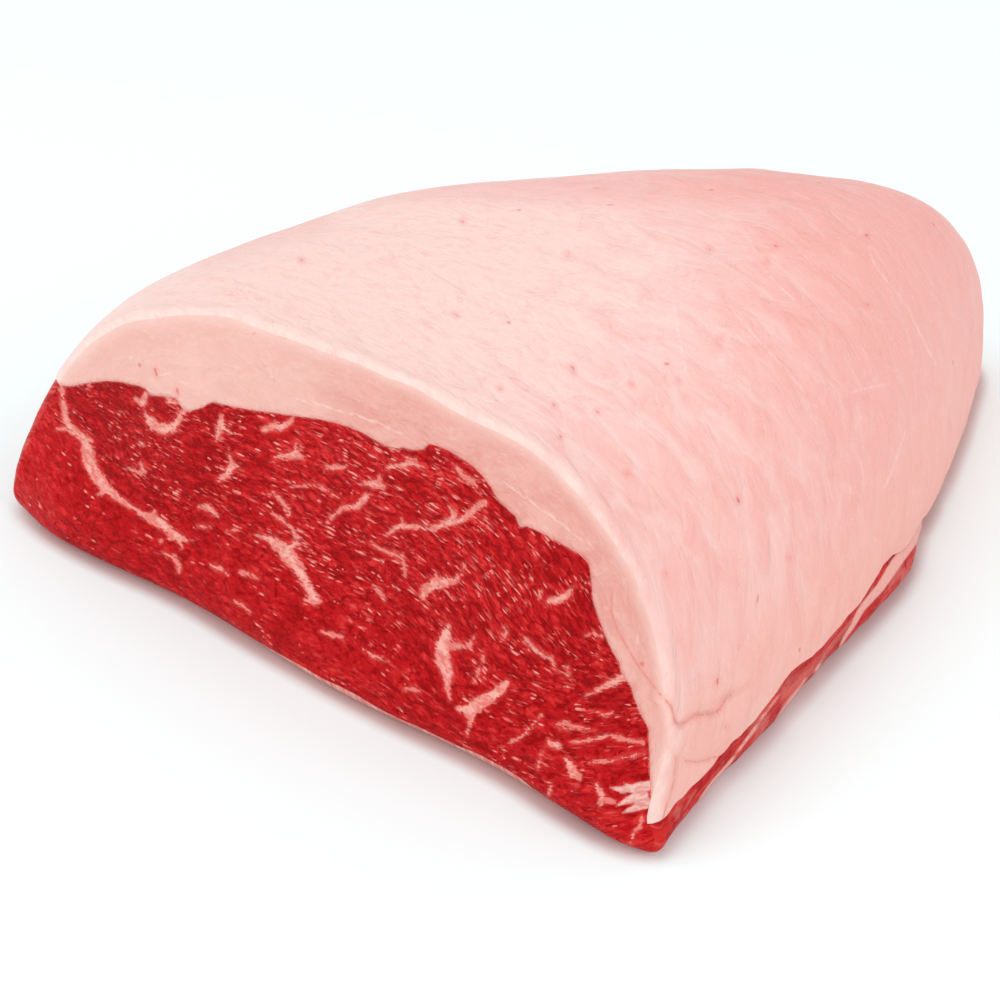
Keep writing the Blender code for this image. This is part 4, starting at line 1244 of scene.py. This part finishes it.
def make_fat_material():
    s = Shader("fat")
    weft = s.attribute("weft", vector=True)
    mottle = s.noise(weft, (11.0, 6.0), detail=4.0, distortion=0.5)
    fibre = s.noise(weft, (8.0, 1.6), detail=4.0, distortion=0.8)
    fine = s.noise(weft, (2.4, 0.7), detail=2.0)
    blotch = s.noise(weft, (3.6, 2.2))
    wrinkle = s.thread(s.noise(weft, (7.0, 3.4), distortion=1.6), 0.020)
    outer = outer_fat(s, weft, mottle, fibre, fine, blotch)
    tone = veined_fat(s, weft, mottle, s.mix(s.attribute("band"), outer, cut_fat(s, mottle, fine)))
    tone = s.mix(s.scaled(wrinkle, s.ramp(blotch, 0.42, 0.62, 0.0, 0.28)), tone, colour(WRINKLE))
    height = s.total((fibre, 0.06), (mottle, 0.8), (fine, 0.03), (wrinkle, -0.015))
    return s.finish(
        Base_Color=marked_fat(s, weft, fine, tone),
        Roughness=s.ramp(mottle, 0.3, 0.7, 0.4, 0.52),
        Normal=s.bump(height, 0.0010),
        Subsurface_Weight=0.2,
        Subsurface_Radius=(1.0, 0.45, 0.35),
        Subsurface_Scale=0.0015,
        Specular_IOR_Level=0.2,
    )


def make_silverskin_material():
    s = Shader("silverskin")
    sheet = s.attribute("grain", vector=True)
    fibres = s.noise(sheet, (24.0, 1.0), detail=4.0, distortion=0.3)
    patches = s.noise(sheet, (30.0, 12.0), detail=4.0, distortion=0.8)
    film = s.tinted(
        s.between(fibres, (0.38, 0.66), FILM_PINK, FILM_PALE), (patches, (0.42, 0.70), 0.45, FILM_RED)
    )
    ragged = s.total((fibres, 1.2), (patches, 1.6), -1.4)
    covered = s.maths("MINIMUM", s.attribute("over"), s.ramp(s.attribute("across"), -62.0, 0.0, -0.1, 1.0))
    covered = s.ramp(s.total(covered, ragged), 0.15, 0.5)
    return s.finish(
        Base_Color=s.mix(covered, outer_muscle(s, sheet), film),
        Roughness=s.ramp(fibres, 0.3, 0.7, 0.3, 0.42),
        Normal=s.bump(s.total(fibres, (patches, 2.0)), 0.0003),
        Specular_IOR_Level=0.3,
    )


# ---- stage ----
def make_floor():
    """A pale floor with a soft painted shade beside the block, darkest where the block hems it in."""
    bpy.ops.mesh.primitive_plane_add(size=FLOOR_SIZE)
    floor = bpy.context.object
    floor.name = "floor"
    s = Shader("floor")
    x = s.node("SeparateXYZ", {"Vector": s.node("NewGeometry", {}, "Position")}, "X")
    # Painted shade, from how closely the block hems the floor in, faded at the block's ends.
    shade = s.ramp(s.node("AmbientOcclusion", {"Distance": SHADE_REACH}, "AO", samples=8), 0.88, 0.52)
    shade = s.scaled(shade, s.ramp(x, *SHADE_LEFT, 0.15, 1.0))
    shade = s.scaled(shade, s.ramp(x, *SHADE_RIGHT, 0.1, 1.0))
    material = s.finish(
        Base_Color=s.mix(shade, FLOOR_PALE, FLOOR_SHADED),
        Roughness=0.9,
        Specular_IOR_Level=0.1,
        Emission_Color=s.mix(shade, FLOOR_GLOW, FLOOR_GLOW_SHADED),
        Emission_Strength=0.10,
    )
    floor.data.materials.append(material)


def make_light(name, place, size, power):
    light = bpy.data.lights.new(name, "AREA")
    light.shape = "DISK"
    light.size = size
    light.energy = power
    lamp = bpy.data.objects.new(name, light)
    lamp.location = place
    lamp.rotation_euler = (-Vector(place)).to_track_quat("-Z", "Y").to_euler()
    bpy.context.scene.collection.objects.link(lamp)


def make_world():
    world = bpy.data.worlds.new("studio")
    world.use_nodes = True
    background = world.node_tree.nodes["Background"].inputs
    background["Color"].default_value = (1, 1, 1, 1)
    background["Strength"].default_value = WORLD_BRIGHTNESS
    bpy.context.scene.world = world


def make_camera():
    right, up, forward = camera_axes()
    turn = Matrix(np.stack((right, up, -forward), axis=-1).tolist()).to_4x4()
    data = bpy.data.cameras.new("camera")
    data.sensor_width = SENSOR
    data.lens = SENSOR * FOCAL / PICTURE
    camera = bpy.data.objects.new("camera", data)
    camera.matrix_world = Matrix.Translation(CAMERA_PLACE) @ turn
    bpy.context.scene.collection.objects.link(camera)
    bpy.context.scene.camera = camera


make_fat(make_fat_material())
make_lean_and_silverskin(make_lean_material(), make_silverskin_material())
make_floor()
make_world()
for each in LIGHTS:
    make_light(*each)
make_camera()
bpy.context.scene.view_settings.view_transform = "Standard"
